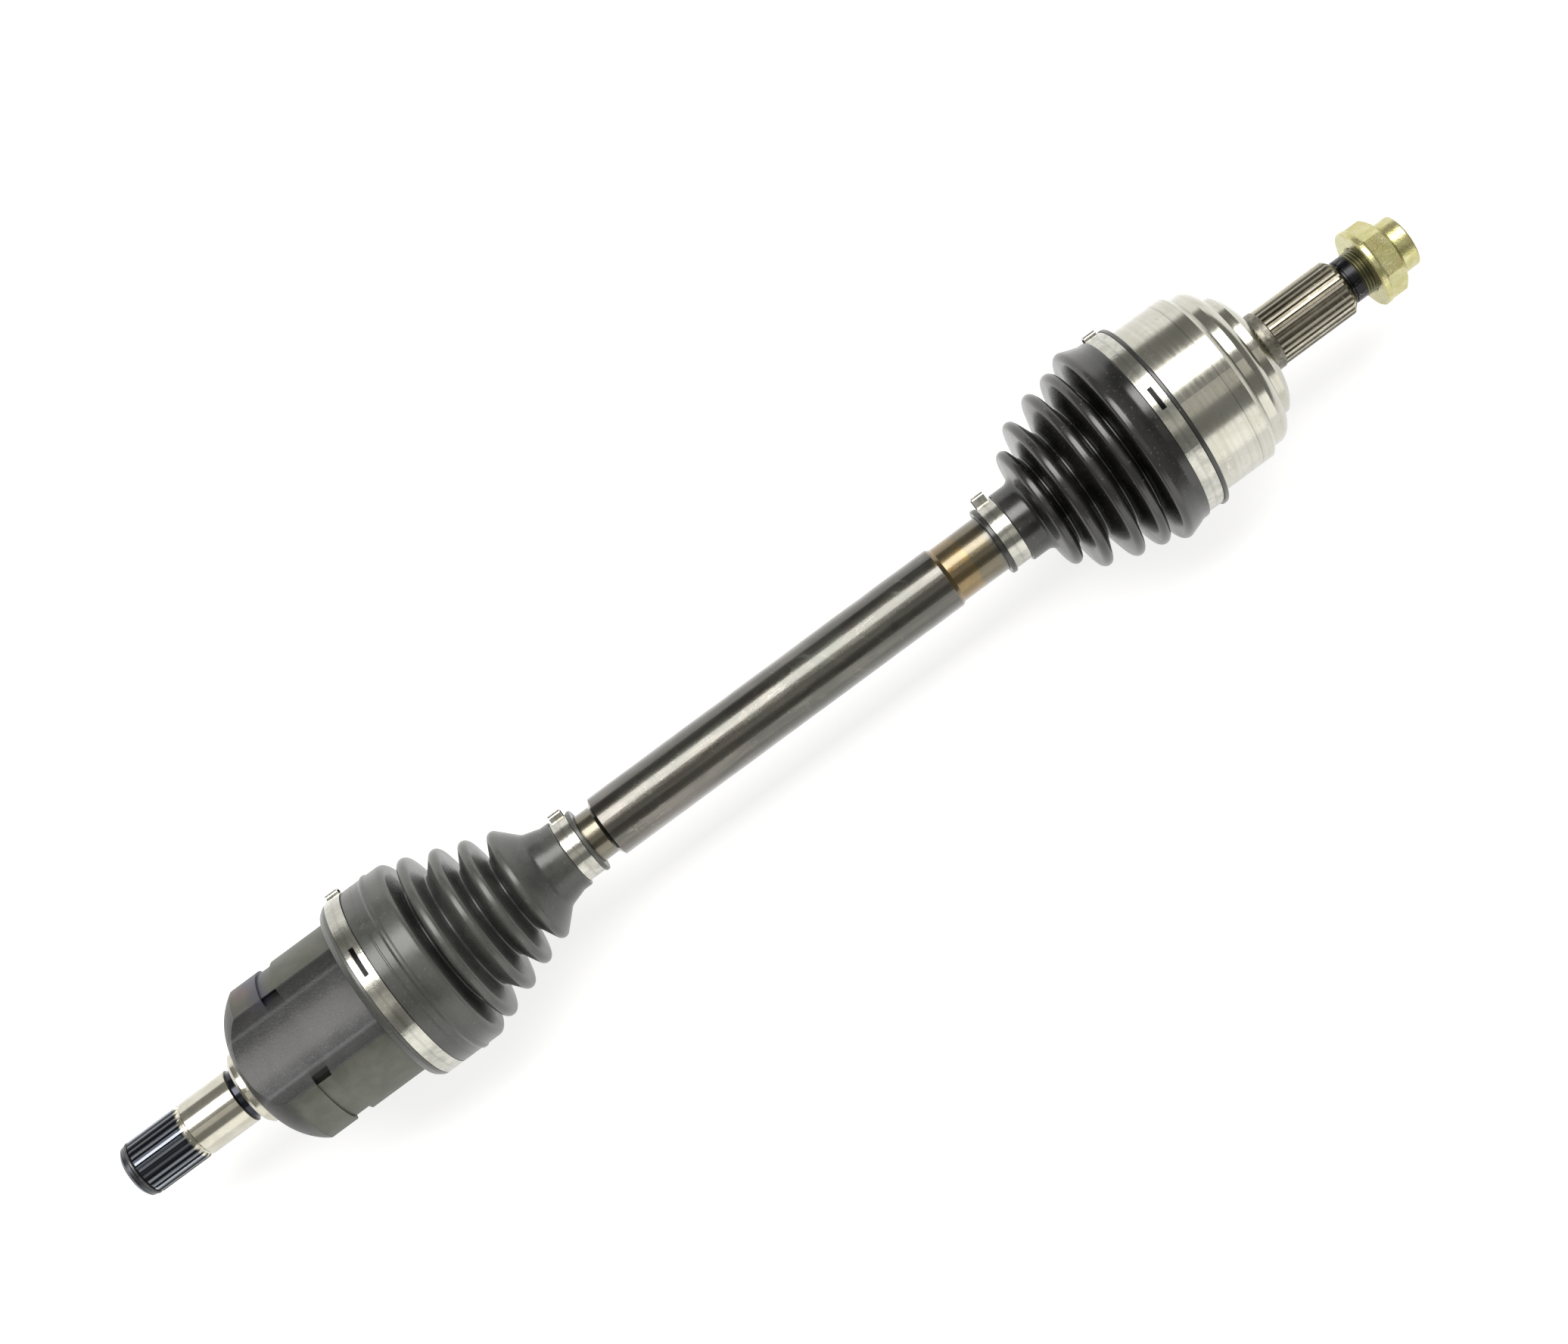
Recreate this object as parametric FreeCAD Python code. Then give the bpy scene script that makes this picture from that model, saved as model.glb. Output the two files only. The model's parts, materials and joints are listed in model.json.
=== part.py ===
import FreeCAD, Part
import math
import os

os.makedirs("parts", exist_ok=True)

V = FreeCAD.Vector
X_AXIS = V(1, 0, 0)

# ---------------------------------------------------------------------------
# Driving dimensions, mm.  +X runs along the axle towards the wheel, +Z is up.
# The origin is on the axis, on the shoulder that the wheel hub seats against.
# ---------------------------------------------------------------------------
joint_spacing = 444.7          # outboard joint's centre to spider's centre

# fits
running_gap = 0.05             # radial, between pieces that move on each other
spline_gap = 0.05              # radial, between male and female splines
seat_gap = 0.02                # between a ball and the sides of its window

# outboard joint
ball_count = 6
ball_r = 8.5
ball_pitch_r = 28.5
track_play = 1.05              # sideways room of a ball in its track
bell_wall = 4.7                # metal left outside a track
bell_shoulder_drop = 3.05      # bell's corner, below its full radius
hub_web = 14.3                 # cup's floor to the hub shoulder
cage_outside = 4.0             # cage wall outside the ball centres
cage_inside = 2.0              # cage wall inside the ball centres
cage_rim = 5.0                 # cage ring beside a window
window_room = 2.0              # window's room round the ball, along the ring
race_rim = 2.5                 # inner race's width past the ball
cup_floor_gap = 0.5
mouth_reach = 18.7             # joint's centre to the bell's mouth
mouth_wall = 5.5
track_hub_angle = 42.0         # how far a track runs towards the hub
track_mouth_angle = 65.0       # and towards the mouth

# outboard stub
neck_r = 14.3
neck_end = 7.0
hub_face_r = 19.8              # flat ring that the wheel hub seats against
step_ring_r = 30.8
step_ring_near = 5.0
step_ring_far = 9.3
bell_round_start = 15.0
bell_chamfer_start = 19.3
hub_spline_r = 13.8
hub_spline_teeth = 27
hub_spline_end = 44.7
spline_depth = 1.25
relief_r = 10.0                # undercut past the spline
relief_start = 47.4
relief_end = 48.8
thread_start = 53.6            # plain shank up to here
shank_drop = 0.2               # plain shank below the thread's crests
thread_r = 11.0
thread_pitch = 1.5
thread_end = 80.0
end_chamfer = 1.5
centre_hole_r = 2.6

# axle nut
nut_face = 58.0                # hub shoulder to the nut's face
nut_flange_r = 19.0
nut_flange_t = 4.0
nut_flats = 32.0
nut_hex_end = 11.7             # nut's face to where the corner chamfer starts
nut_collar_r = 12.75
nut_length = 22.7
nut_thread_gap = 0.02

# shaft
shaft_r = 15.0
shaft_outboard_r = 13.85
neck_rise = 0.5                # bar's neck above its spline
joint_spline_r = 11.5
joint_spline_teeth = 24
joint_spline_depth = 1.0
circlip_t = 1.6
circlip_depth = 1.5
shaft_step_outboard = 127.0    # outboard joint's centre to the step in the bar
shaft_thin_outboard = 84.0     # outboard joint's centre to the end of the boot seat
shaft_step_inboard = 131.6     # spider's centre to the bar's full radius

# inboard joint
roller_count = 3
lobe_turn = 72.5               # first arm's direction, from +Z towards +Y
roller_r = 15.7
roller_w = 12.0
roller_crown = 0.8             # how much the barrel falls away at its edges
roller_end_gap = 0.3           # spider's hub to a roller's inner face
roller_play = 0.65             # between a roller and one side of its track
ceiling_gap = 0.95
trunnion_r = 8.0
needle_r = 1.2
needle_count = 22
needle_length = 9.0
retainer_t = 0.8
snap_ring_t = 1.0
snap_ring_depth = 0.6
spider_hub_wall = 3.7          # metal outside the spline
spider_half_w = 11.0
tulip_wall = 7.1
tulip_bore_r = 23.0
tulip_valley_wall = 5.8
tulip_mouth_flare = 2.4
tulip_flare_length = 12.0
tulip_reach = 35.0             # spider's centre to the housing's mouth
tulip_floor_reach = 45.0       # spider's centre to the housing's floor
tulip_shoulder = 44.3          # spider's centre to where the end rounds off
shoulder_drop = 18.9           # fall of the rounded end, from the lobes to the boss
lobe_half_angle = 26.25
stop_wire_r = 0.8
stop_ring_inset = 2.0          # housing's mouth to the ring's middle
grip_groove_near = 22.3        # spider's centre to the shallow groove
grip_groove_w = 8.0
grip_groove_depth = 1.2
notch_w = 5.0
notch_depth = 3.2

# inboard stub, measured from the spider's centre
boss_r = 18.2
boss_start = 58.7
boss_end = 63.7
seal_groove_r = 12.4
journal_start = 68.3
journal_end = 93.0
journal_r = 13.45
stub_spline_start = 97.0
stub_spline_end = 120.4
stub_spline_r = 13.4
stub_spline_teeth = 25
stub_ring_wire_r = 0.8
stub_ring_r = 12.55
stub_end = 126.3
stub_end_r = 10.6

# boots and clamps
boot_wall = 1.8
boot_bend_r = 1.75             # middle of the wall, round a crest or a valley
band_w = 8.0
band_t = 0.6
ear_wall = 0.9
ear_w = 7.0
outboard_seat_wall = 3.25      # boot over the bell's seat, under the band
outboard_lip = 1.7             # boot's end lip above the band's seat
bell_seat_drop = 0.75
outboard_small_wall = 1.25
outboard_small_far = 103.0     # outboard joint's centre to the boot's small end
outboard_rim_w = 2.4           # rim outside the small band
inboard_rim_w = 1.9
band_room = 0.2                # beside a band in its seat
inboard_tail = 4.7             # collar left past the large band
small_ear_out = 5.3            # height of the crimped ears
small_ear_in = 3.9
large_ear = 3.0
strip_end_angle = -23.0        # where a band's second layer ends
slot_w = 2.4                   # tool slots in the large bands
outboard_slot = (3.0, 17.0)
inboard_slot = (12.0, 30.0)
inboard_collar_wall = 3.0
inboard_collar_length = 34.0
adapter_wall = 3.1
inboard_small_wall = 2.4
inboard_small_near = 121.9     # spider's centre to the boot's small end
inboard_collar_front = 41.7    # spider's centre to the collar's front face

# ---------------------------------------------------------------------------
# Sizes that follow
# ---------------------------------------------------------------------------
cup_r = ball_pitch_r + cage_outside
race_r = ball_pitch_r - cage_inside
track_r = ball_r + track_play
bell_r = ball_pitch_r + track_r + bell_wall
bell_seat_r = bell_r - bell_seat_drop
cup_floor = race_r + cup_floor_gap
joint_x = -(cup_floor + hub_web)
mouth_x = joint_x - mouth_reach
mouth_r = bell_seat_r - mouth_wall
race_half_w = ball_r + race_rim
cage_half_w = ball_r + cage_rim
shaft_tip = race_half_w + 5.0

shaft_neck_r = joint_spline_r + neck_rise
spider_x = joint_x - joint_spacing
spider_hub_r = joint_spline_r + spider_hub_wall
roller_inner = spider_hub_r + roller_end_gap
roller_outer = roller_inner + roller_w
track_half_w = roller_r + roller_play
ceiling_r = math.hypot(roller_outer, roller_r) + ceiling_gap
tulip_r = ceiling_r + tulip_wall
tulip_valley_r = tulip_bore_r + tulip_valley_wall
tulip_mouth_x = spider_x + tulip_reach
needle_pitch_r = trunnion_r + running_gap + needle_r
roller_bore_r = needle_pitch_r + needle_r + running_gap
adapter_r = tulip_r + adapter_wall
collar_r = adapter_r + inboard_collar_wall
outboard_boot_x = joint_x - outboard_small_far
inboard_boot_x = spider_x + inboard_small_near
inboard_boot_end_x = spider_x + inboard_collar_front - inboard_collar_length
outboard_small_seat_r = shaft_outboard_r + outboard_small_wall
inboard_small_seat_r = shaft_neck_r + inboard_small_wall
outboard_large_seat_r = bell_seat_r + outboard_seat_wall
lobe_angles = [lobe_turn + 360.0 / roller_count * k for k in range(roller_count)]
ball_angles = [30.0 + 360.0 / ball_count * k for k in range(ball_count)]


# ---------------------------------------------------------------------------
# Helpers
# ---------------------------------------------------------------------------
def around(angle):
    """Unit vector across the axle, turned from +Z towards +Y."""
    a = math.radians(angle)
    return V(0, math.sin(a), math.cos(a))


def edges_through(points):
    """Edges through (x, r) points; (x, r, mid_x, mid_r) reaches x, r by an arc."""
    edges = []
    last = V(points[0][0], 0, points[0][1])
    for p in points[1:]:
        here = V(p[0], 0, p[1])
        if len(p) == 4:
            edges.append(Part.Arc(last, V(p[2], 0, p[3]), here).toShape())
        elif here.distanceToPoint(last) > 1e-6:
            edges.append(Part.makeLine(last, here))
        last = here
    return edges


def turned(points):
    """Closed (x, r) outline turned about the axle's axis."""
    first = (points[0][0], points[0][1])
    wire = Part.Wire(edges_through(list(points) + [first]))
    return Part.Face(wire).revolve(V(0, 0, 0), X_AXIS, 360)


def rod(r, x0, x1):
    return Part.makeCylinder(r, x1 - x0, V(x0, 0, 0), X_AXIS)


def tube(outer, inner, x0, x1):
    return rod(outer, x0, x1).cut(rod(inner, x0 - 1, x1 + 1))


def section_prism(points, x0, x1):
    """Closed (y, z) outline drawn out along X."""
    corners = [V(x0, y, z) for y, z in points]
    wire = Part.makePolygon(corners + [corners[0]])
    return Part.Face(wire).extrude(V(x1 - x0, 0, 0))


def spline_prism(tip_r, depth, teeth, x0, x1):
    """Toothed bar: each tooth is a flat tip, two flanks and a flat root."""
    pitch = 2 * math.pi / teeth
    corners = [(-0.31, -depth), (-0.17, 0.0), (0.17, 0.0), (0.31, -depth)]
    points = []
    for k in range(teeth):
        for share, rise in corners:
            a = (k + share) * pitch
            points.append(((tip_r + rise) * math.sin(a), (tip_r + rise) * math.cos(a)))
    return section_prism(points, x0, x1)


def split_ring(section, angle, gap_angle):
    """Section, given as (x, r) points, turned about the axis with a gap at angle."""
    wire = Part.Wire(edges_through(list(section) + [section[0][:2]]))
    ring = Part.Face(wire).revolve(V(0, 0, 0), X_AXIS, 360 - gap_angle)
    ring.rotate(V(0, 0, 0), X_AXIS, gap_angle / 2 - angle)
    return ring


def wire_ring(centre_x, ring_r, wire_r, angle, gap_angle):
    circle = Part.Wire(Part.makeCircle(wire_r, V(centre_x, 0, ring_r), V(0, 1, 0)))
    ring = Part.Face(circle).revolve(V(0, 0, 0), X_AXIS, 360 - gap_angle)
    ring.rotate(V(0, 0, 0), X_AXIS, gap_angle / 2 - angle)
    return ring


def box_around(angle, x0, x1, width, r0, r1):
    """Box that reaches from r0 to r1 in the direction angle."""
    box = Part.makeBox(x1 - x0, width, r1 - r0, V(x0, -width / 2, r0))
    box.rotate(V(0, 0, 0), X_AXIS, -angle)
    return box


def save(shape, name):
    solids = shape.Solids
    out = solids[0] if len(solids) == 1 else Part.makeCompound(solids)
    out.exportStep("parts/" + name + ".step")
    return out


# ---------------------------------------------------------------------------
# Outboard joint
# ---------------------------------------------------------------------------
def ball_track(angle, from_angle, to_angle):
    """Track along a great circle of the joint, from the hub's side to the mouth's."""
    centre = V(joint_x, 0, 0)
    out = around(angle)
    across = X_AXIS.cross(out)
    ring = Part.makeCircle(track_r, centre + out * ball_pitch_r, X_AXIS)
    face = Part.Face(Part.Wire(ring))
    face.rotate(centre, across, -from_angle)
    return face.revolve(centre, across, from_angle + to_angle)


def bell_outside():
    lip_x = mouth_x + band_w + 2.2
    return turned([
        (mouth_x, 0), (mouth_x, bell_seat_r), (lip_x, bell_seat_r), (lip_x, bell_r),
        (-bell_chamfer_start - 3.0, bell_r),
        (-bell_chamfer_start, bell_r - bell_shoulder_drop),
        (-bell_round_start, bell_r - bell_shoulder_drop),
        (-step_ring_far, step_ring_r + 2.0,
         -step_ring_far - 1.7, bell_r - bell_shoulder_drop - 2.6),
        (-step_ring_far, step_ring_r), (-step_ring_near, step_ring_r),
        (0, hub_face_r, -1.6, (step_ring_r + hub_face_r) / 2 + 0.9),
        (0, neck_r), (neck_end - 0.5, neck_r), (neck_end, neck_r - 0.5), (neck_end, 0)])


def bell_cavity():
    """Ball-shaped cup with a flat floor and a flared mouth."""
    flare_x = 12.0
    flare_r = math.sqrt(cup_r ** 2 - flare_x ** 2)
    floor_r = math.sqrt(cup_r ** 2 - cup_floor ** 2)
    return turned([
        (joint_x + cup_floor, 0), (joint_x + cup_floor, floor_r),
        (joint_x - flare_x, flare_r, joint_x, cup_r),
        (mouth_x, mouth_r), (mouth_x - 1, mouth_r), (mouth_x - 1, 0)])


def threaded_end():
    """Plain shank, then a thread drawn as rings of its pitch and depth."""
    depth = 0.61 * thread_pitch
    points = [
        (relief_end, 0), (relief_end, thread_r - shank_drop),
        (thread_start - 0.3, thread_r - shank_drop), (thread_start, thread_r - depth)]
    turns = int((thread_end - end_chamfer - thread_start) / thread_pitch)
    for k in range(turns):
        x = thread_start + k * thread_pitch
        points.append((x + 0.45 * thread_pitch, thread_r))
        points.append((x + 0.55 * thread_pitch, thread_r))
        points.append((x + thread_pitch, thread_r - depth))
    points.append((thread_end, thread_r - depth))
    points.append((thread_end, 0))
    return turned(points)


def outboard_housing():
    body = bell_outside().cut(bell_cavity())
    for angle in ball_angles:
        body = body.cut(ball_track(angle, track_hub_angle, track_mouth_angle))
    teeth = spline_prism(hub_spline_r, spline_depth, hub_spline_teeth, neck_end, relief_start)
    envelope = turned([
        (neck_end, 0), (neck_end, hub_spline_r), (hub_spline_end, hub_spline_r),
        (relief_start, thread_r), (relief_start, 0)])
    stub = teeth.common(envelope)
    relief = rod(relief_r, relief_start, relief_end)
    body = body.fuse([stub, relief, threaded_end()]).removeSplitter()
    drill = Part.makeCone(0, centre_hole_r, centre_hole_r * 1.73,
                          V(thread_end - centre_hole_r * 1.73, 0, 0), X_AXIS)
    return body.cut(drill)


def outboard_inner_race():
    centre = V(joint_x, 0, 0)
    x0 = joint_x - race_half_w
    x1 = joint_x + race_half_w
    body = Part.makeSphere(race_r - running_gap, centre).common(rod(race_r + 1, x0, x1))
    for angle in ball_angles:
        body = body.cut(ball_track(angle, track_mouth_angle, track_mouth_angle))
    bore = spline_prism(joint_spline_r + spline_gap, joint_spline_depth,
                        joint_spline_teeth, x0 - 1, x1 + 1)
    return body.cut(bore)


def outboard_cage():
    centre = V(joint_x, 0, 0)
    shell = Part.makeSphere(cup_r - running_gap, centre)
    shell = shell.common(rod(cup_r + 1, joint_x - cage_half_w, joint_x + cage_half_w))
    shell = shell.cut(Part.makeSphere(race_r + running_gap, centre))
    half = ball_r + seat_gap
    for angle in ball_angles:
        window = Part.makeBox(2 * half, 2 * (ball_r + window_room), 2 * cage_outside + 10,
                              V(joint_x - half, -ball_r - window_room, race_r - 5))
        upright = [e for e in window.Edges if abs(e.tangentAt(0).z) > 0.9]
        window = window.makeFillet(3.0, upright)
        window.rotate(V(0, 0, 0), X_AXIS, -angle)
        shell = shell.cut(window)
    return shell


def outboard_balls():
    return [Part.makeSphere(ball_r, V(joint_x, 0, 0) + around(a) * ball_pitch_r)
            for a in ball_angles]


def axle_nut():
    x0 = nut_face
    half = nut_flats / 2
    corner_r = half / math.cos(math.radians(30))
    corners = []
    for k in range(6):
        a = math.radians(60 * k + 90)
        corners.append((corner_r * math.sin(a), corner_r * math.cos(a)))
    hexagon = section_prism(corners, x0 + nut_flange_t - 0.01, x0 + nut_hex_end + 4)
    chamfer_x = x0 + nut_hex_end + (corner_r - nut_collar_r) * math.tan(math.radians(30))
    cap = turned([
        (x0, 0), (x0, corner_r), (x0 + nut_hex_end, corner_r), (chamfer_x, nut_collar_r),
        (chamfer_x, 0)])
    flange = turned([
        (x0, 0), (x0, nut_flange_r - 0.6), (x0 + 0.6, nut_flange_r),
        (x0 + nut_flange_t - 1.5, nut_flange_r),
        (x0 + nut_flange_t, nut_flange_r - 1.5, x0 + nut_flange_t - 0.44, nut_flange_r - 0.44),
        (x0 + nut_flange_t, 0)])
    end = x0 + nut_length
    collar = turned([
        (chamfer_x - 1, 0), (chamfer_x - 1, nut_collar_r), (end - 1.0, nut_collar_r),
        (end, nut_collar_r - 1.0, end - 0.29, nut_collar_r - 0.29), (end, 0)])
    body = hexagon.common(cap).fuse([flange, collar]).removeSplitter()
    body = body.cut(rod(thread_r + nut_thread_gap, x0 - 1, end + 1))
    lead = Part.makeCone(thread_r + 1.2, thread_r, 1.2, V(x0, 0, 0), X_AXIS)
    return body.cut(lead)


# ---------------------------------------------------------------------------
# Shaft and the clips on it
# ---------------------------------------------------------------------------
def race_clip_x():
    return joint_x + race_half_w + 0.1


def spider_clip_xs():
    """Near side and far side of the spider, as the low end of each groove."""
    return (spider_x + spider_half_w + 0.1, spider_x - spider_half_w - 0.1 - circlip_t)


def shaft():
    end_in = spider_x - spider_half_w - circlip_t - 2.5
    end_out = joint_x + shaft_tip
    seat_in = spider_x + spider_half_w + circlip_t + 1.5
    seat_out = joint_x - race_half_w - 0.5
    root = joint_spline_r - joint_spline_depth
    bar = turned([
        (seat_in, 0), (seat_in, root), (seat_in + 1.5, shaft_neck_r),
        (spider_x + shaft_step_inboard - 2.0, shaft_neck_r),
        (spider_x + shaft_step_inboard, shaft_r),
        (joint_x - shaft_step_outboard - 2.0, shaft_r),
        (joint_x - shaft_step_outboard, shaft_outboard_r),
        (joint_x - shaft_thin_outboard, shaft_outboard_r),
        (joint_x - shaft_thin_outboard + 10.0, shaft_neck_r),
        (seat_out - 1.5, shaft_neck_r), (seat_out, root), (seat_out, 0)])
    ends = []
    for x0, x1 in ((end_in, seat_in), (seat_out, end_out)):
        teeth = spline_prism(joint_spline_r, joint_spline_depth, joint_spline_teeth, x0, x1)
        envelope = turned([
            (x0, 0), (x0, root - 0.3), (x0 + 1.2, joint_spline_r),
            (x1 - 1.2, joint_spline_r), (x1, root - 0.3), (x1, 0)])
        ends.append(teeth.common(envelope))
    body = bar.fuse(ends).removeSplitter()
    for x in (race_clip_x(),) + spider_clip_xs():
        body = body.cut(tube(joint_spline_r + 1, joint_spline_r - circlip_depth, x, x + circlip_t))
    return body


def shaft_clip(x):
    """Split ring of square section in a groove of the splined end."""
    inner = joint_spline_r - circlip_depth + 0.1
    outer = joint_spline_r + 1.3
    near = x + 0.1
    far = x + circlip_t - 0.1
    return split_ring([(near, inner), (near, outer), (far, outer), (far, inner)], 40, 30)


# ---------------------------------------------------------------------------
# Inboard joint
# ---------------------------------------------------------------------------
def arm_rod(angle, r, low, high):
    return Part.makeCylinder(r, high - low, V(spider_x, 0, 0) + around(angle) * low, around(angle))


def arm_stack():
    """Heights along an arm: needles, washer, snap ring and the arm's end."""
    needles_low = roller_inner + 1.0
    washer_low = needles_low + needle_length + 0.1
    ring_low = washer_low + retainer_t + 0.1
    arm_end = ring_low + snap_ring_t + 0.8
    return needles_low, washer_low, ring_low, arm_end


def spider():
    ring_low, arm_end = arm_stack()[2:]
    x0 = spider_x - spider_half_w
    x1 = spider_x + spider_half_w
    body = turned([
        (x0, 0), (x0, spider_hub_r - 1.5), (x0 + 1.5, spider_hub_r),
        (x1 - 1.5, spider_hub_r), (x1, spider_hub_r - 1.5), (x1, 0)])
    for angle in lobe_angles:
        body = body.fuse(arm_rod(angle, trunnion_r, joint_spline_r, arm_end))
        body = body.fuse(arm_rod(angle, trunnion_r + 2.0, joint_spline_r, roller_inner - 0.15))
    body = body.removeSplitter()
    body = body.cut(spline_prism(joint_spline_r + spline_gap, joint_spline_depth,
                                 joint_spline_teeth, x0 - 1, x1 + 1))
    for angle in lobe_angles:
        groove = arm_rod(angle, trunnion_r + 1, ring_low, ring_low + snap_ring_t)
        groove = groove.cut(arm_rod(angle, trunnion_r - snap_ring_depth, ring_low - 1, arm_end + 1))
        body = body.cut(groove)
    return body


def on_arm(shape, angle):
    """Shape drawn about +Z at the origin, moved on to the arm at angle."""
    placed = shape.copy()
    placed.rotate(V(0, 0, 0), X_AXIS, -angle)
    placed.translate(V(spider_x, 0, 0))
    return placed


def roller():
    """Barrel roller: crowned outside, plain bore."""
    edge_r = roller_r - roller_crown
    low = V(edge_r, 0, roller_inner)
    high = V(edge_r, 0, roller_outer)
    middle = V(roller_r, 0, (roller_inner + roller_outer) / 2)
    bore_low = V(roller_bore_r, 0, roller_inner)
    bore_high = V(roller_bore_r, 0, roller_outer)
    wire = Part.Wire([
        Part.makeLine(bore_low, low), Part.Arc(low, middle, high).toShape(),
        Part.makeLine(high, bore_high), Part.makeLine(bore_high, bore_low)])
    return Part.Face(wire).revolve(V(0, 0, 0), V(0, 0, 1), 360)


def needles():
    low = arm_stack()[0]
    rods = []
    for k in range(needle_count):
        a = 2 * math.pi * k / needle_count
        foot = V(needle_pitch_r * math.cos(a), needle_pitch_r * math.sin(a), low)
        rods.append(Part.makeCylinder(needle_r, needle_length, foot))
    return Part.makeCompound(rods)


def ring_on_z(outer, inner, low, thickness, gap_angle):
    section = Part.makePolygon([
        V(inner, 0, low), V(outer, 0, low), V(outer, 0, low + thickness),
        V(inner, 0, low + thickness), V(inner, 0, low)])
    return Part.Face(section).revolve(V(0, 0, 0), V(0, 0, 1), 360 - gap_angle)


def roller_retainer():
    return ring_on_z(roller_bore_r - 0.3, trunnion_r + running_gap, arm_stack()[1], retainer_t, 0)


def roller_snap_ring():
    thickness = snap_ring_t - 0.1
    inner = trunnion_r - snap_ring_depth + 0.05
    return ring_on_z(roller_bore_r - 0.7, inner, arm_stack()[2] + 0.05, thickness, 40)


def lobed_prism(x0, x1, grow):
    """Housing's outside section: a round bar with three scooped valleys."""
    body = rod(tulip_r + grow, x0, x1)
    half = math.radians(60.0 - lobe_half_angle)
    edge_out = tulip_r * math.cos(half)
    edge_side = tulip_r * math.sin(half)
    centre_r = ((edge_out ** 2 + edge_side ** 2 - tulip_valley_r ** 2)
                / (2 * (edge_out - tulip_valley_r)))
    scoop_r = centre_r - tulip_valley_r - grow
    for angle in lobe_angles:
        foot = V(x0 - 1, 0, 0) + around(angle + 60.0) * centre_r
        body = body.cut(Part.makeCylinder(scoop_r, x1 - x0 + 2, foot, X_AXIS))
    return body


def tulip_cavity():
    x0 = spider_x - tulip_floor_reach
    x1 = tulip_mouth_x + 1
    cavity = rod(tulip_bore_r, x0, x1)
    limit = rod(ceiling_r, x0, x1)
    for angle in lobe_angles:
        slot = box_around(angle, x0, x1, 2 * track_half_w, 0, ceiling_r + 5)
        cavity = cavity.fuse(slot.common(limit))
    flare = turned([
        (tulip_mouth_x - tulip_flare_length, 0),
        (tulip_mouth_x - tulip_flare_length, tulip_bore_r),
        (tulip_mouth_x, tulip_bore_r + tulip_mouth_flare),
        (x1, tulip_bore_r + tulip_mouth_flare), (x1, 0)])
    groove_r = tulip_bore_r + tulip_mouth_flare + 2 * stop_wire_r
    ring_x = tulip_mouth_x - stop_ring_inset
    groove = rod(groove_r, ring_x - stop_wire_r - 0.1, ring_x + stop_wire_r + 0.1)
    return cavity.fuse([flare, groove])


def inboard_stop_ring():
    ring_r = tulip_bore_r + tulip_mouth_flare + stop_wire_r - 0.1
    return wire_ring(tulip_mouth_x - stop_ring_inset, ring_r, stop_wire_r, lobe_turn, 20)


def inboard_stub():
    """Boss, seal groove, journal and spline behind the housing's lobes."""
    def at(reach):
        return spider_x - reach

    ring_x0 = at(stub_spline_end + 0.8)
    ring_x1 = ring_x0 - 2 * stub_ring_wire_r - 0.2
    groove_r = stub_ring_r - stub_ring_wire_r - 0.05
    root = stub_spline_r - spline_depth
    bar = turned([
        (at(tulip_shoulder + 6.0), 0), (at(tulip_shoulder + 6.0), boss_r),
        (at(boss_end - 1.5), boss_r), (at(boss_end), boss_r - 1.5),
        (at(boss_end), seal_groove_r), (at(journal_start - 0.8), seal_groove_r),
        (at(journal_start), journal_r), (at(journal_end - 0.6), journal_r),
        (at(journal_end), journal_r - 0.6), (at(stub_spline_start), root),
        (ring_x0, root), (ring_x0, groove_r), (ring_x1, groove_r),
        (ring_x1, stub_spline_r - 0.5), (at(stub_end - 1.5), stub_spline_r - 0.8),
        (at(stub_end), stub_end_r), (at(stub_end), 0)])
    teeth = spline_prism(stub_spline_r, spline_depth, stub_spline_teeth,
                         at(stub_spline_end + 0.8), at(journal_end))
    envelope = turned([
        (at(journal_end), 0), (at(journal_end), root), (at(journal_end + 2.0), stub_spline_r),
        (at(stub_spline_end), stub_spline_r), (ring_x0, stub_spline_r - 0.8), (ring_x0, 0)])
    return bar.fuse(teeth.common(envelope))


def stub_snap_ring():
    x = spider_x - stub_spline_end - 0.8 - stub_ring_wire_r - 0.1
    return wire_ring(x, stub_ring_r, stub_ring_wire_r, 150, 24)


def inboard_housing():
    x_end = spider_x - boss_start
    near_end = spider_x - tulip_shoulder
    lobes = lobed_prism(x_end, tulip_mouth_x, 0)
    limit = turned([
        (tulip_mouth_x, 0), (tulip_mouth_x, tulip_r - 0.8), (tulip_mouth_x - 0.8, tulip_r),
        (near_end, tulip_r),
        (x_end, tulip_r - shoulder_drop, near_end - 8.0, tulip_r - 0.36 * shoulder_drop),
        (x_end, 0)])
    lobes = lobes.common(limit)
    groove_x1 = spider_x - grip_groove_near
    groove_x0 = groove_x1 - grip_groove_w
    lobes = lobes.cut(tube(tulip_r + 2, tulip_r - grip_groove_depth, groove_x0, groove_x1))
    for angle in lobe_angles:
        for side in (-1, 1):
            edge = angle + side * (lobe_half_angle + 1.5)
            lobes = lobes.cut(box_around(edge, groove_x0, groove_x1, notch_w,
                                         tulip_r - notch_depth, tulip_r + 3))
    body = lobes.fuse(inboard_stub()).cut(tulip_cavity()).removeSplitter()
    drill = Part.makeCone(centre_hole_r, 0, centre_hole_r * 1.73,
                          V(spider_x - stub_end, 0, 0), X_AXIS)
    return body.cut(drill)


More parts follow.
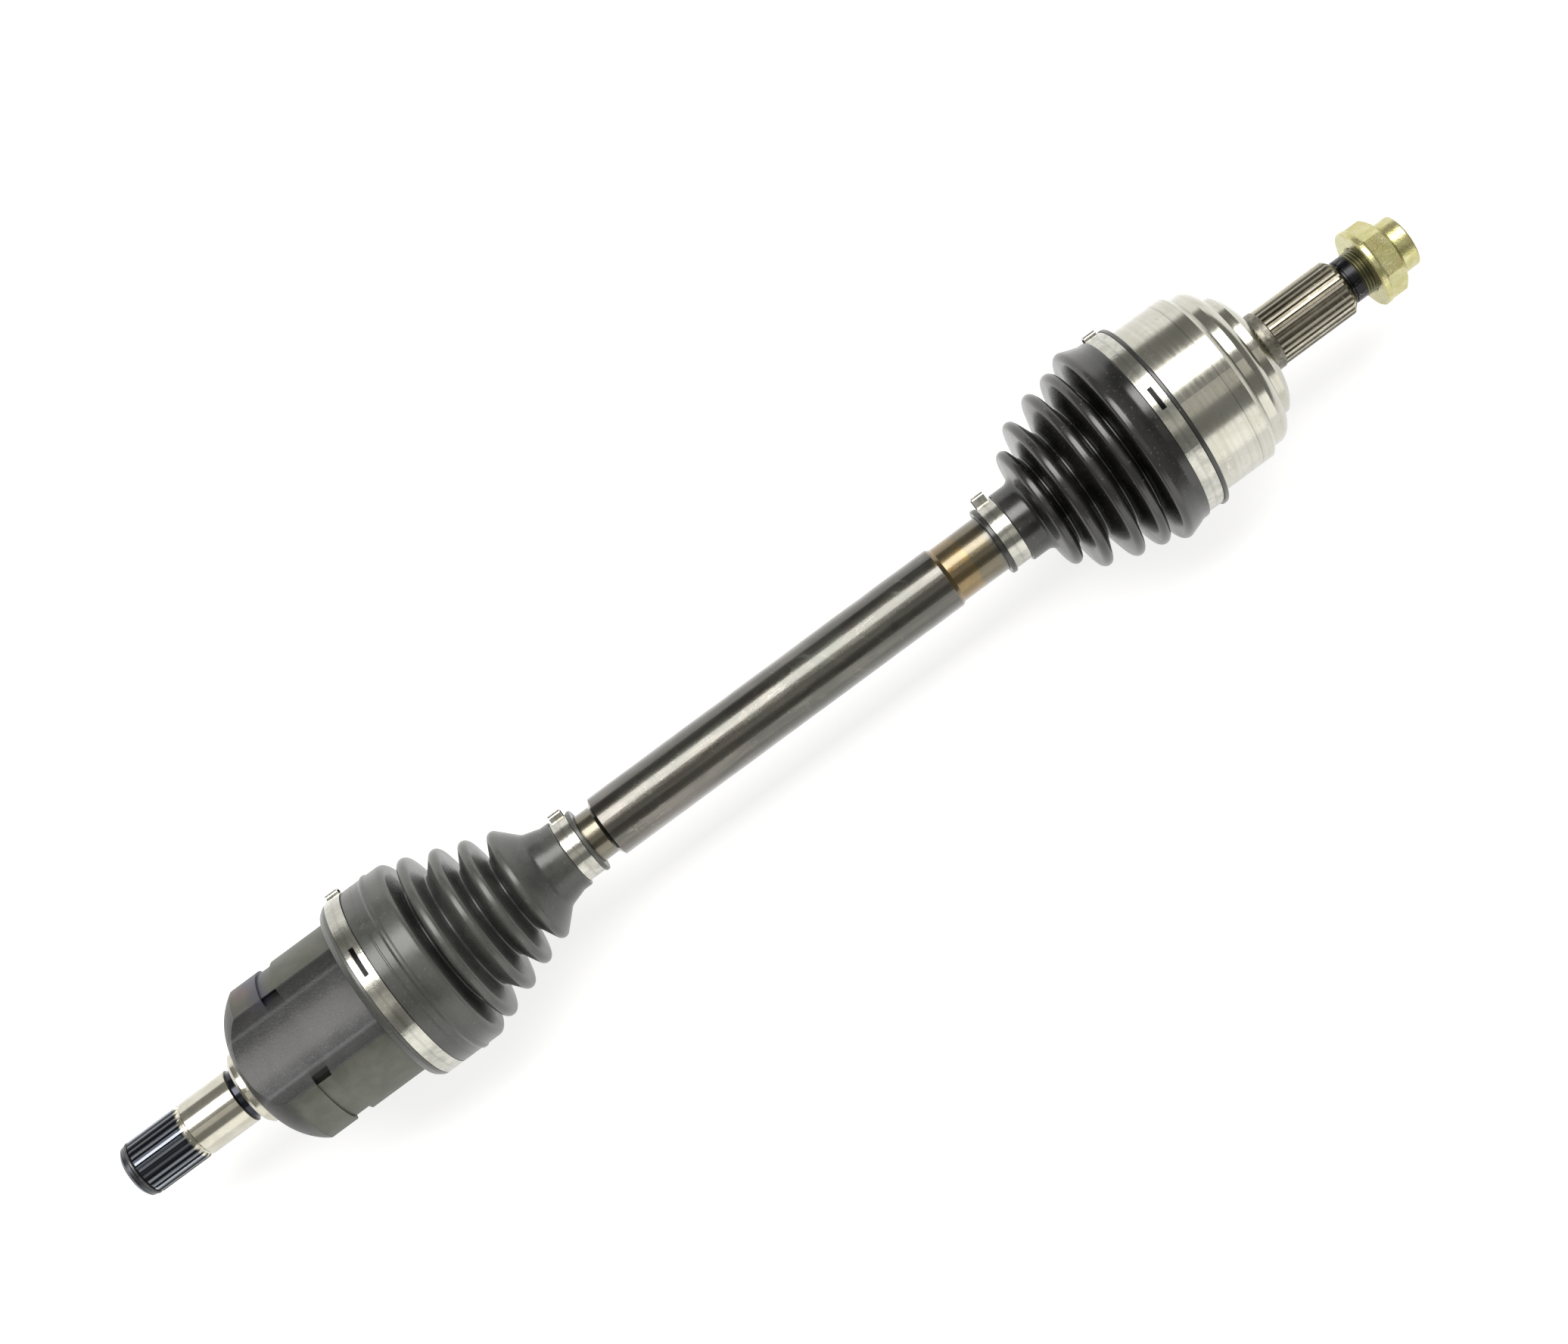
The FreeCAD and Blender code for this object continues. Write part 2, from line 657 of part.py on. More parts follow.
# ---------------------------------------------------------------------------
# Boots and clamps
# ---------------------------------------------------------------------------
def wavy_edges(bends, start, end, offset):
    """Smooth wave between two (u, r) points.

    bends lists (u, r, bend_r, side): the middle of the wall turns round the
    centre u, r with radius bend_r, over it where side is 1 and under it
    where side is -1.  Straight flanks touch each pair of neighbours.
    """
    rounds = [(start, 0.0)]
    rounds += [((u, r), side * bend_r + offset) for u, r, bend_r, side in bends]
    rounds += [(end, 0.0)]
    flanks = []
    for (a, ra), (b, rb) in zip(rounds, rounds[1:]):
        run = (b[0] - a[0], b[1] - a[1])
        length = math.hypot(*run)
        along = (run[0] / length, run[1] / length)
        lean = (ra - rb) / length
        rise = math.sqrt(1 - lean * lean)
        n = (lean * along[0] - rise * along[1], lean * along[1] + rise * along[0])
        flanks.append(((a[0] + ra * n[0], a[1] + ra * n[1]),
                       (b[0] + rb * n[0], b[1] + rb * n[1]), n))
    edges = []
    for k, (p, q, n) in enumerate(flanks):
        edges.append(Part.makeLine(V(p[0], 0, p[1]), V(q[0], 0, q[1])))
        if k + 1 < len(flanks):
            centre, radius = rounds[k + 1]
            nxt = flanks[k + 1]
            m = (n[0] + nxt[2][0], n[1] + nxt[2][1])
            size = math.hypot(*m)
            mid = V(centre[0] + radius * m[0] / size, 0, centre[1] + radius * m[1] / size)
            edges.append(Part.Arc(V(q[0], 0, q[1]), mid, V(nxt[0][0], 0, nxt[0][1])).toShape())
    return edges


def boot_solid(bends, small_out, small_in, large_out, large_in, place_x, way):
    """Boot drawn from its small end along u, then placed: x = place_x + way * u."""
    half = boot_wall / 2
    edges = edges_through(small_out)
    edges += wavy_edges(bends, small_out[-1][:2], large_out[0][:2], half)
    edges += edges_through(large_out)
    edges += edges_through([large_out[-1][:2], large_in[-1][:2]])
    edges += edges_through(large_in)
    edges += wavy_edges(bends, small_in[-1][:2], large_in[0][:2], -half)
    edges += edges_through(small_in)
    edges += edges_through([small_out[0][:2], small_in[0][:2]])
    wire = Part.Wire(Part.__sortEdges__(edges))
    body = Part.Face(wire).revolve(V(0, 0, 0), X_AXIS, 360)
    if way < 0:
        body = body.mirror(V(0, 0, 0), X_AXIS)
    body.translate(V(place_x, 0, 0))
    return body


def shared_bends(shares, u0, u1, r0, r1):
    """Bends given as (share of the length, share of the rise, side)."""
    half = boot_wall / 2
    bends = []
    for along, up, side in shares:
        surface = r0 + up * (r1 - r0)
        centre_r = surface - side * (boot_bend_r + side * half)
        bends.append((u0 + along * (u1 - u0), centre_r, boot_bend_r, side))
    return bends


OUTBOARD_WAVES = [
    (0.05, 0.02, -1), (0.127, 0.453, 1), (0.206, 0.209, -1), (0.286, 0.763, 1),
    (0.397, 0.383, -1), (0.508, 0.920, 1), (0.603, 0.502, -1), (0.698, 1.010, 1),
    (0.778, 0.592, -1), (0.857, 1.150, 1)]

INBOARD_WAVES = [
    (0.253, 0.416, 1), (0.366, 0.089, -1), (0.455, 0.560, 1), (0.576, 0.227, -1),
    (0.656, 0.722, 1), (0.785, 0.388, -1), (0.871, 0.893, 1), (0.958, 0.350, -1)]


def outboard_boot():
    seat = outboard_small_seat_r
    bead = seat + 1.6
    shoulder = seat + 2.2
    u_seat = outboard_rim_w
    u_shoulder = u_seat + band_w + 2 * band_room
    u_wave = u_shoulder + 7.5
    u_mouth = mouth_x - outboard_boot_x
    u_wave_end = u_mouth - 3.3
    large_seat = outboard_large_seat_r
    bends = shared_bends(OUTBOARD_WAVES, u_wave, u_wave_end, shoulder, large_seat + 0.7)
    small_out = [
        (0, seat), (0, bead - 0.8), (0.8, bead, 0.23, bead - 0.23), (u_seat - 0.4, bead),
        (u_seat, bead - 0.4), (u_seat, seat), (u_shoulder, seat), (u_shoulder, shoulder - 0.8),
        (u_shoulder + 0.8, shoulder, u_shoulder + 0.23, shoulder - 0.23), (u_wave - 1.5, shoulder)]
    small_in = [(0, shaft_outboard_r), (u_wave - 2.5, shaft_outboard_r)]
    lip = large_seat + outboard_lip
    u_band = u_mouth - band_room
    u_lip = u_band + band_w + 2 * band_room
    large_out = [
        (u_wave_end, lip), (u_band - 0.4, lip - 0.1), (u_band, lip - 0.5), (u_band, large_seat),
        (u_lip, large_seat), (u_lip, lip - 0.3), (u_lip + 0.4, lip), (u_lip + 1.2, lip),
        (u_lip + 2.0, lip - 0.8, u_lip + 1.77, lip - 0.23)]
    large_in = [
        (u_wave_end + 1.0, lip - boot_wall - 0.3), (u_mouth - 0.3, lip - boot_wall - 0.6),
        (u_mouth - 0.3, bell_seat_r), (u_lip + 2.0, bell_seat_r)]
    return boot_solid(bends, small_out, small_in, large_out, large_in,
                      outboard_boot_x, 1)


def inboard_boot():
    seat = inboard_small_seat_r
    bead = seat + 1.4
    shoulder = seat + 2.3
    u_seat = inboard_rim_w
    u_shoulder = u_seat + band_w + 2 * band_room
    u_wave = u_shoulder + 7.6
    u_face = inboard_small_near - inboard_collar_front
    bends = [(u_wave + 2.5, shoulder + 7.0, 6.0, -1)]
    bends += shared_bends(INBOARD_WAVES, u_wave, u_face, shoulder, collar_r)
    corner = 2.5
    bends.append((u_face + corner, collar_r - corner - boot_wall / 2, corner, 1))
    small_out = [
        (0, seat), (0, bead - 0.7), (0.7, bead, 0.2, bead - 0.2), (u_seat - 0.4, bead),
        (u_seat, bead - 0.4), (u_seat, seat), (u_shoulder, seat), (u_shoulder, shoulder - 0.8),
        (u_shoulder + 0.8, shoulder, u_shoulder + 0.23, shoulder - 0.23),
        (u_shoulder + 4.5, shoulder)]
    small_in = [(0, shaft_neck_r), (u_shoulder + 4.0, shaft_neck_r)]
    u_end = u_face + inboard_collar_length
    u_band = u_end - inboard_tail - band_w - band_room
    u_groove_end = u_band + band_w + 2 * band_room
    bead_u = u_face + 10.0
    large_out = [
        (u_face + 5.0, collar_r), (bead_u - 1.0, collar_r),
        (bead_u + 1.0, collar_r, bead_u, collar_r + 0.8), (u_band, collar_r),
        (u_band, collar_r - band_t), (u_groove_end, collar_r - band_t),
        (u_groove_end, collar_r), (u_end - 3.8, collar_r),
        (u_end, adapter_r + 0.8, u_end - 1.0, collar_r - 0.8)]
    large_in = [(u_face + 6.0, adapter_r), (u_end, adapter_r)]
    return boot_solid(bends, small_out, small_in, large_out, large_in,
                      inboard_boot_x, -1)


def inboard_boot_adapter():
    x1 = tulip_mouth_x - 1.0
    return rod(adapter_r, inboard_boot_end_x, x1).cut(
        lobed_prism(inboard_boot_end_x - 1, x1 + 1, 0))


def band_sector(outer, inner, x0, x1, low, high):
    """Part of a ring between two angles, both from +Z towards +Y."""
    section = Part.makePolygon([
        V(x0, 0, inner), V(x1, 0, inner), V(x1, 0, outer), V(x0, 0, outer), V(x0, 0, inner)])
    sector = Part.Face(section).revolve(V(0, 0, 0), X_AXIS, high - low)
    sector.rotate(V(0, 0, 0), X_AXIS, -high)
    return sector


def ear_clamp(x_mid, seat_r, ear_h, slot_angles):
    """Band with a raised ear towards +Y and a second layer to the strip's end."""
    x0 = x_mid - band_w / 2
    x1 = x_mid + band_w / 2
    outer_r = seat_r + band_t
    layer_r = outer_r + band_t
    band = tube(outer_r, seat_r, x0, x1)
    wrap = band_sector(layer_r, outer_r - 0.01, x0, x1, strip_end_angle, 90.0)
    ear_x0 = x0 + 1.0
    ear_x1 = x1 - 1.0
    ear = Part.makeBox(ear_x1 - ear_x0, outer_r + ear_h - seat_r + 1.0, ear_w,
                       V(ear_x0, seat_r - 1.0, -ear_w / 2))
    top = [e for e in ear.Edges
           if abs(e.tangentAt(0).x) > 0.9 and e.CenterOfMass.y > outer_r]
    ear = ear.makeFillet(min(1.6, ear_h / 2), top)
    ear = ear.cut(rod(seat_r, ear_x0 - 1, ear_x1 + 1))
    hollow = Part.makeBox(band_w, outer_r + ear_h - ear_wall - seat_r + 2.0,
                          ear_w - 2 * ear_wall,
                          V(x0, seat_r - 2.0, -ear_w / 2 + ear_wall))
    clamp = band.fuse([wrap, ear]).removeSplitter().cut(hollow)
    if slot_angles:
        low, high = slot_angles
        clamp = clamp.cut(band_sector(layer_r + 1, outer_r, x_mid - slot_w / 2,
                                      x_mid + slot_w / 2, low, high))
    return clamp


def clamps():
    small_out_x = outboard_boot_x + outboard_rim_w + band_room + band_w / 2
    small_in_x = inboard_boot_x - inboard_rim_w - band_room - band_w / 2
    large_out_x = mouth_x + band_w / 2
    large_in_x = inboard_boot_end_x + inboard_tail + band_w / 2
    return {
        "outboard_small_clamp": ear_clamp(small_out_x, outboard_small_seat_r,
                                          small_ear_out, None),
        "outboard_large_clamp": ear_clamp(large_out_x, outboard_large_seat_r,
                                          large_ear, outboard_slot),
        "inboard_small_clamp": ear_clamp(small_in_x, inboard_small_seat_r,
                                         small_ear_in, None),
        "inboard_large_clamp": ear_clamp(large_in_x, collar_r - band_t,
                                         large_ear, inboard_slot)}


def main():
    save(outboard_housing(), "outboard_housing")
    save(outboard_inner_race(), "outboard_inner_race")
    save(outboard_cage(), "outboard_cage")
    for k, ball in enumerate(outboard_balls(), 1):
        save(ball, "outboard_ball_%d" % k)
    save(axle_nut(), "axle_nut")
    save(shaft(), "shaft")
    save(shaft_clip(race_clip_x()), "outboard_circlip")
    near, far = spider_clip_xs()
    save(shaft_clip(near), "spider_inner_circlip")
    save(shaft_clip(far), "spider_outer_circlip")
    save(spider(), "spider")
    for k, angle in enumerate(lobe_angles, 1):
        save(on_arm(roller(), angle), "roller_%d" % k)
        save(on_arm(needles(), angle), "needles_%d" % k)
        save(on_arm(roller_retainer(), angle), "roller_retainer_%d" % k)
        save(on_arm(roller_snap_ring(), angle), "roller_snap_ring_%d" % k)
    save(inboard_housing(), "inboard_housing")
    save(inboard_stop_ring(), "inboard_stop_ring")
    save(stub_snap_ring(), "stub_snap_ring")
    save(outboard_boot(), "outboard_boot")
    save(inboard_boot(), "inboard_boot")
    save(inboard_boot_adapter(), "inboard_boot_adapter")
    for name, clamp in clamps().items():
        save(clamp, name)


main()
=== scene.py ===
import json
import math

import bpy
import numpy as np
from mathutils import Matrix, Vector


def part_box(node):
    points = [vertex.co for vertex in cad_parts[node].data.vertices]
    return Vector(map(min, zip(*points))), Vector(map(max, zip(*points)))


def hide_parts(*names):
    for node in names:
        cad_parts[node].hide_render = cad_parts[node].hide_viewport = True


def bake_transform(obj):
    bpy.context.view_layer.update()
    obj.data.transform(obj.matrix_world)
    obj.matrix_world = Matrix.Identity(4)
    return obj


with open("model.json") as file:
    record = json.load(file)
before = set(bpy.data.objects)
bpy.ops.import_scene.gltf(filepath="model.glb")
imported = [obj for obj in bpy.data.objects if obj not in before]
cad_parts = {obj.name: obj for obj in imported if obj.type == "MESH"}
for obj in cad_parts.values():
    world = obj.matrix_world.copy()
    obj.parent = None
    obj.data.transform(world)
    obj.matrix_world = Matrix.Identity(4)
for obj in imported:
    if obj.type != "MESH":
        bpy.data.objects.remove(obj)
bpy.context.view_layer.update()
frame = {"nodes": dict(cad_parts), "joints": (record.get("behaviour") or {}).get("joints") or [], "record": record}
NODES = frame["nodes"]
JOINTS = {joint["name"]: joint for joint in frame["joints"]}
MM = 0.001

# ---------------------------------------------------------------------------
# Places and sizes, metres unless a comment says mm
# ---------------------------------------------------------------------------
SPIDER_X = JOINTS["inboard_bend"]["pos_m"][0]         # tripod joint's centre
LOBE_TURN = math.radians(72.5)                        # first lobe, from +Z towards +Y
FLOOR_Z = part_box("outboard_boot")[0].z
CENTRE_X = -0.27                                      # where the lights point
SOFTBOX_LENGTH = 2.6
CAMERA_PLACE = (-0.2515, 0.0084, 1.133)
CAMERA_LEAN = math.radians(36.4)                      # the axle's slope across the frame

# Where the finishes change, mm: radii, and places from the shoulder that the hub seats against
STUB_START = (-1.0, 0.6)
STUB_NECK = (0.2, 6.8)
STUB_TOOTH_R = (12.9, 13.75)                          # from the radius of a gap to that of a tooth
STUB_SHANK = (46.6, 53.4)
THREAD_START = (53.2, 53.7)
BELL_LINE = (-28.7, -28.1)
LACQUER = (-170.2, -157.5)
LACQUER_FADE = (-160.0, -146.0)
BAR_NECK = (-355.0, -357.0)
HEAT_TINT = (-531.0, -515.0)
TINT_TURNS_BLUE = (-526.0, -516.0)
NOTCH_RING = (-516.6, -508.2)
NOTCH_R = (38.3, 38.0)
LOBE_ENDS = (-546.5, -544.5)
CAP_START = (-527.0, -535.0)
CAP_END = (-548.0, -544.8)
INBOARD_STUB = (-544.8, -546.0)
SEAL_GROOVE = (-554.2, -549.9)
INBOARD_SPLINE = (-580.6, -582.2)
SPLINE_TOOTH_R = (12.2, 13.35)

# Dark slot in each large clamp: degrees about X from +Z towards +Y, and half its width in mm
CLAMP_SLOTS = (("outboard_large_clamp", 3.0, 17.0), ("inboard_large_clamp", 12.0, 30.0))
SLOT_HALF = 1.15

# ---------------------------------------------------------------------------
# Mesh helpers
# ---------------------------------------------------------------------------
def new_mesh(name, verts, faces):
    """Object from vertex and quad arrays, smooth shaded."""
    mesh = bpy.data.meshes.new(name)
    mesh.vertices.add(len(verts))
    mesh.vertices.foreach_set("co", np.ascontiguousarray(verts, np.float32).ravel())
    mesh.loops.add(faces.size)
    mesh.loops.foreach_set("vertex_index", faces.astype(np.int32).ravel())
    mesh.polygons.add(len(faces))
    mesh.polygons.foreach_set("loop_start", np.arange(0, faces.size, 4, dtype=np.int32))
    mesh.polygons.foreach_set("use_smooth", np.ones(len(faces), bool))
    mesh.update(calc_edges=True)
    mesh.validate()
    piece = bpy.data.objects.new(name, mesh)
    bpy.context.scene.collection.objects.link(piece)
    return piece


def turned_grid(name, x, r, turns):
    """Closed ring of section points (x, r) carried round the X axis.

    Point (i, k) is (x_i, r_ik sin a_k, r_ik cos a_k) with a_k = 2 pi k / turns.
    r may be one radius per section point, or a full grid of radii.
    """
    a = np.arange(turns) * (2 * math.pi / turns)
    radius = r[:, None] * np.ones(turns) if r.ndim == 1 else r
    verts = np.stack([x[:, None] * np.ones(turns), radius * np.sin(a), radius * np.cos(a)], -1)
    n = len(x)
    i, k = np.meshgrid(np.arange(n), np.arange(turns), indexing="ij")
    i2, k2 = (i + 1) % n, (k + 1) % turns
    faces = np.stack([i * turns + k, i2 * turns + k, i2 * turns + k2, i * turns + k2], -1)
    return new_mesh(name, verts.reshape(-1, 3), faces.reshape(-1, 4))


def arc_points(centre, radius, a0, a1, count):
    """Points on a circle from angle a0 to a1, both ends included."""
    a = np.linspace(a0, a1, count)
    return np.stack([centre[0] + radius * np.cos(a), centre[1] + radius * np.sin(a)], -1)


def rounded_line(points, arc_count=5):
    """Line through (u, r, corner radius) points, each inner corner an arc.

    The arc touches both neighbours: its ends lie radius * tan(half the turn)
    from the corner, and its points blend the two tangents evenly.
    """
    p = np.array([q[:2] for q in points], float)
    out = [p[:1]]
    for k in range(1, len(p) - 1):
        back, on = p[k - 1] - p[k], p[k + 1] - p[k]
        lb, lo = np.hypot(*back), np.hypot(*on)
        back, on = back / lb, on / lo
        turn = math.pi - math.acos(np.clip(back @ on, -1, 1))
        reach = min(points[k][2] * math.tan(turn / 2), 0.48 * lb, 0.48 * lo)
        if reach < 1e-6:
            out.append(p[k:k + 1])
            continue
        s = np.linspace(0, 1, arc_count)[:, None]
        a, b = p[k] + back * reach, p[k] + on * reach
        out.append((1 - s) ** 2 * a + 2 * s * (1 - s) * p[k] + s ** 2 * b)
    out.append(p[-1:])
    return np.concatenate(out)


def wave_line(bends, start, end, offset, arc_count=9, flank_count=4):
    """Smooth wave from start to end, a wall's surface at offset from its middle.

    Each bend is (u, r, radius, side): the surface turns round the centre u, r,
    over it where side is 1 and under it where side is -1, and straight flanks
    touch both neighbours.
    """
    rounds = [(np.array(start, float), 0.0)]
    rounds += [(np.array([u, r]), side * radius + offset) for u, r, radius, side in bends]
    rounds += [(np.array(end, float), 0.0)]
    flanks = []
    for (a, ra), (b, rb) in zip(rounds, rounds[1:]):
        run = b - a
        length = np.hypot(*run)
        along = run / length
        lean = (ra - rb) / length
        rise = math.sqrt(1 - lean * lean)
        n = lean * along + rise * np.array([-along[1], along[0]])
        flanks.append((a + ra * n, b + rb * n, n))
    out = []
    for k, (p, q, n) in enumerate(flanks):
        s = np.linspace(0, 1, flank_count + 2)[:-1, None]
        out.append(p + (q - p) * s)
        if k + 1 < len(flanks):
            centre, radius = rounds[k + 1]
            m = flanks[k + 1][2]
            a0, a1 = math.atan2(n[1], n[0]), math.atan2(m[1], m[0])
            out.append(arc_points(centre, radius, a0, a1, arc_count)[:-1])
    return np.concatenate(out)


# ---------------------------------------------------------------------------
# Shader groups: only colours, masks, values and normals come out of them
# ---------------------------------------------------------------------------
def new_group(name, inputs, outputs):
    """Node group with its sockets, its tree, and its input and output nodes."""
    group = bpy.data.node_groups.new(name, "ShaderNodeTree")
    for label, kind, value in inputs:
        socket = group.interface.new_socket(label, in_out="INPUT", socket_type=kind)
        socket.default_value = value
    for label, kind in outputs:
        group.interface.new_socket(label, in_out="OUTPUT", socket_type=kind)
    return group, Tree(group), group.nodes.new("NodeGroupInput"), group.nodes.new("NodeGroupOutput")


class Tree:
    """Short ways to add nodes to a node tree."""

    def __init__(self, tree):
        self.tree = tree

    def node(self, kind, **settings):
        n = self.tree.nodes.new(kind)
        for key, value in settings.items():
            setattr(n, key, value)
        return n

    def link(self, source, target):
        self.tree.links.new(source, target)

    def put(self, value, socket):
        """Link a socket, or set a constant."""
        if isinstance(value, bpy.types.NodeSocket):
            self.link(value, socket)
        else:
            socket.default_value = value

    def math(self, operation, a, b=0.0, c=None):
        n = self.node("ShaderNodeMath", operation=operation)
        self.put(a, n.inputs[0])
        self.put(b, n.inputs[1])
        if c is not None:
            self.put(c, n.inputs[2])
        return n.outputs[0]

    def step(self, value, low, high):
        """0 below low, 1 above high, smooth between; high may be under low."""
        n = self.node("ShaderNodeMapRange", interpolation_type="SMOOTHSTEP")
        self.put(value, n.inputs["Value"])
        if high < low:
            n.inputs["From Min"].default_value, n.inputs["From Max"].default_value = high, low
            n.inputs["To Min"].default_value, n.inputs["To Max"].default_value = 1.0, 0.0
        else:
            n.inputs["From Min"].default_value, n.inputs["From Max"].default_value = low, high
        return n.outputs["Result"]

    def between(self, value, low, high, soft):
        """1 inside low..high, 0 outside."""
        return self.math("MULTIPLY", self.step(value, low - soft, low + soft),
                         self.step(value, high + soft, high - soft))

    def along(self, x, ends, soft):
        """1 between two places, with soft sides, all in mm."""
        return self.between(x, ends[0] * MM, ends[1] * MM, soft * MM)

    def past(self, x, ends):
        """0 before the first place and 1 past the second, in mm."""
        return self.step(x, ends[0] * MM, ends[1] * MM)

    def product(self, first, *others):
        """All the values multiplied together."""
        for other in others:
            first = self.math("MULTIPLY", first, other)
        return first

    def mix(self, share, a, b):
        n = self.node("ShaderNodeMix", data_type="RGBA")
        self.put(share, n.inputs["Factor"])
        for value, socket in ((a, n.inputs["A"]), (b, n.inputs["B"])):
            self.put(value if isinstance(value, bpy.types.NodeSocket) else (*value, 1.0), socket)
        return n.outputs["Result"]

    def mix_value(self, share, a, b):
        n = self.node("ShaderNodeMix", data_type="FLOAT")
        self.put(share, n.inputs["Factor"])
        self.put(a, n.inputs["A"])
        self.put(b, n.inputs["B"])
        return n.outputs["Result"]

    def noise(self, vector, scale, detail=3.0, rough=0.55, distortion=0.0):
        n = self.node("ShaderNodeTexNoise")
        self.put(vector, n.inputs["Vector"])
        n.inputs["Scale"].default_value = scale
        n.inputs["Detail"].default_value = detail
        n.inputs["Roughness"].default_value = rough
        n.inputs["Distortion"].default_value = distortion
        return n.outputs["Fac"]

    def stretched(self, axes, along, across, height):
        """Object point with each axis scaled by its own number."""
        return self.join(self.math("MULTIPLY", axes[0], along),
                         self.math("MULTIPLY", axes[1], across),
                         self.math("MULTIPLY", axes[2], height))

    def radius(self, axes):
        """Distance from the X axis."""
        return self.math("SQRT", self.math("ADD", self.math("POWER", axes[1], 2.0),
                                           self.math("POWER", axes[2], 2.0)))

    def around(self, axes):
        """Angle about the X axis, from +Z towards +Y."""
        return self.math("ARCTAN2", axes[1], axes[2])

    def join(self, x, y, z):
        n = self.node("ShaderNodeCombineXYZ")
        for value, socket in zip((x, y, z), n.inputs):
            self.put(value, socket)
        return n.outputs[0]

    def object_axes(self):
        """The object point, and its X, Y and Z."""
        point = self.node("ShaderNodeTexCoord").outputs["Object"]
        split = self.node("ShaderNodeSeparateXYZ")
        self.link(point, split.inputs[0])
        return point, split.outputs

    def use(self, group, **values):
        """Place a group; a keyword's underscores stand for spaces."""
        n = self.node("ShaderNodeGroup", node_tree=group)
        for key, value in values.items():
            self.put(value, n.inputs[key.replace("_", " ")])
        return n

    def bump(self, height, strength, distance):
        n = self.node("ShaderNodeBump")
        n.inputs["Strength"].default_value = strength
        n.inputs["Distance"].default_value = distance
        self.link(height, n.inputs["Height"])
        return n.outputs["Normal"]


def turning_marks_group():
    """Rings left by a lathe tool: noise that changes only along X and with the radius."""
    group, t, gin, gout = new_group(
        "turning_marks",
        [("Pitch", "NodeSocketFloat", 900.0), ("Waver", "NodeSocketFloat", 0.15)],
        [("Height", "NodeSocketFloat"), ("Mask", "NodeSocketFloat")])
    axes = t.object_axes()[1]
    slow = t.math("MULTIPLY", t.around(axes), gin.outputs["Waver"])
    across = t.join(t.math("MULTIPLY", axes[0], gin.outputs["Pitch"]), slow,
                    t.math("MULTIPLY", t.radius(axes), gin.outputs["Pitch"]))
    fine = t.noise(across, 2.2, 2.0, 0.7)
    broad = t.noise(across, 0.35, 1.0, 0.5)
    t.link(t.math("ADD", t.math("MULTIPLY", fine, 0.7), t.math("MULTIPLY", broad, 0.3)),
           gout.inputs["Height"])
    t.link(t.step(broad, 0.35, 0.65), gout.inputs["Mask"])
    return group


def mottle_group():
    """Large soft stains with finer ones inside, and sparse small specks."""
    group, t, gin, gout = new_group(
        "mottle", [("Size", "NodeSocketFloat", 60.0)],
        [("Stain", "NodeSocketFloat"), ("Speck", "NodeSocketFloat"), ("Grain", "NodeSocketFloat")])
    point = t.object_axes()[0]
    scaled = t.node("ShaderNodeVectorMath", operation="SCALE")
    t.link(point, scaled.inputs[0])
    t.link(gin.outputs["Size"], scaled.inputs["Scale"])
    stain = t.noise(scaled.outputs[0], 1.0, 5.0, 0.6, 0.4)
    speck = t.noise(scaled.outputs[0], 9.0, 2.0, 0.5)
    grain = t.noise(scaled.outputs[0], 40.0, 2.0, 0.6)
    t.link(t.step(stain, 0.35, 0.68), gout.inputs["Stain"])
    t.link(t.step(speck, 0.64, 0.72), gout.inputs["Speck"])
    t.link(grain, gout.inputs["Grain"])
    return group


def scratch_group():
    """Thin wandering scratches: bands of a stretched noise near its middle value."""
    group, t, gin, gout = new_group(
        "scratches", [("Amount", "NodeSocketFloat", 0.5)], [("Mask", "NodeSocketFloat")])
    point, axes = t.object_axes()
    total = None
    for stretch in ((30.0, 260.0, 180.0), (240.0, 40.0, 60.0)):
        value = t.noise(t.stretched(axes, *stretch), 1.0, 2.0, 0.5, 0.6)
        line = t.step(t.math("ABSOLUTE", t.math("SUBTRACT", value, 0.5)), 0.006, 0.0)
        total = line if total is None else t.math("MAXIMUM", total, line)
    patch = t.step(t.noise(point, 35.0, 2.0), 0.5, 0.62)
    t.link(t.math("MULTIPLY", t.math("MULTIPLY", total, patch), gin.outputs["Amount"]),
           gout.inputs["Mask"])
    return group


TURNING = turning_marks_group()
MOTTLE = mottle_group()
SCRATCHES = scratch_group()


# ---------------------------------------------------------------------------
# Materials
# ---------------------------------------------------------------------------
def new_material(name, **sockets):
    """Material with one Principled shader, its constant values on its own sockets."""
    material = bpy.data.materials.new(name)
    material.use_nodes = True
    material.node_tree.nodes.clear()
    t = Tree(material.node_tree)
    shader = t.node("ShaderNodeBsdfPrincipled")
    out = t.node("ShaderNodeOutputMaterial")
    t.link(shader.outputs[0], out.inputs["Surface"])
    for key, value in sockets.items():
        shader.inputs[key.replace("_", " ")].default_value = value
    return material, t, shader


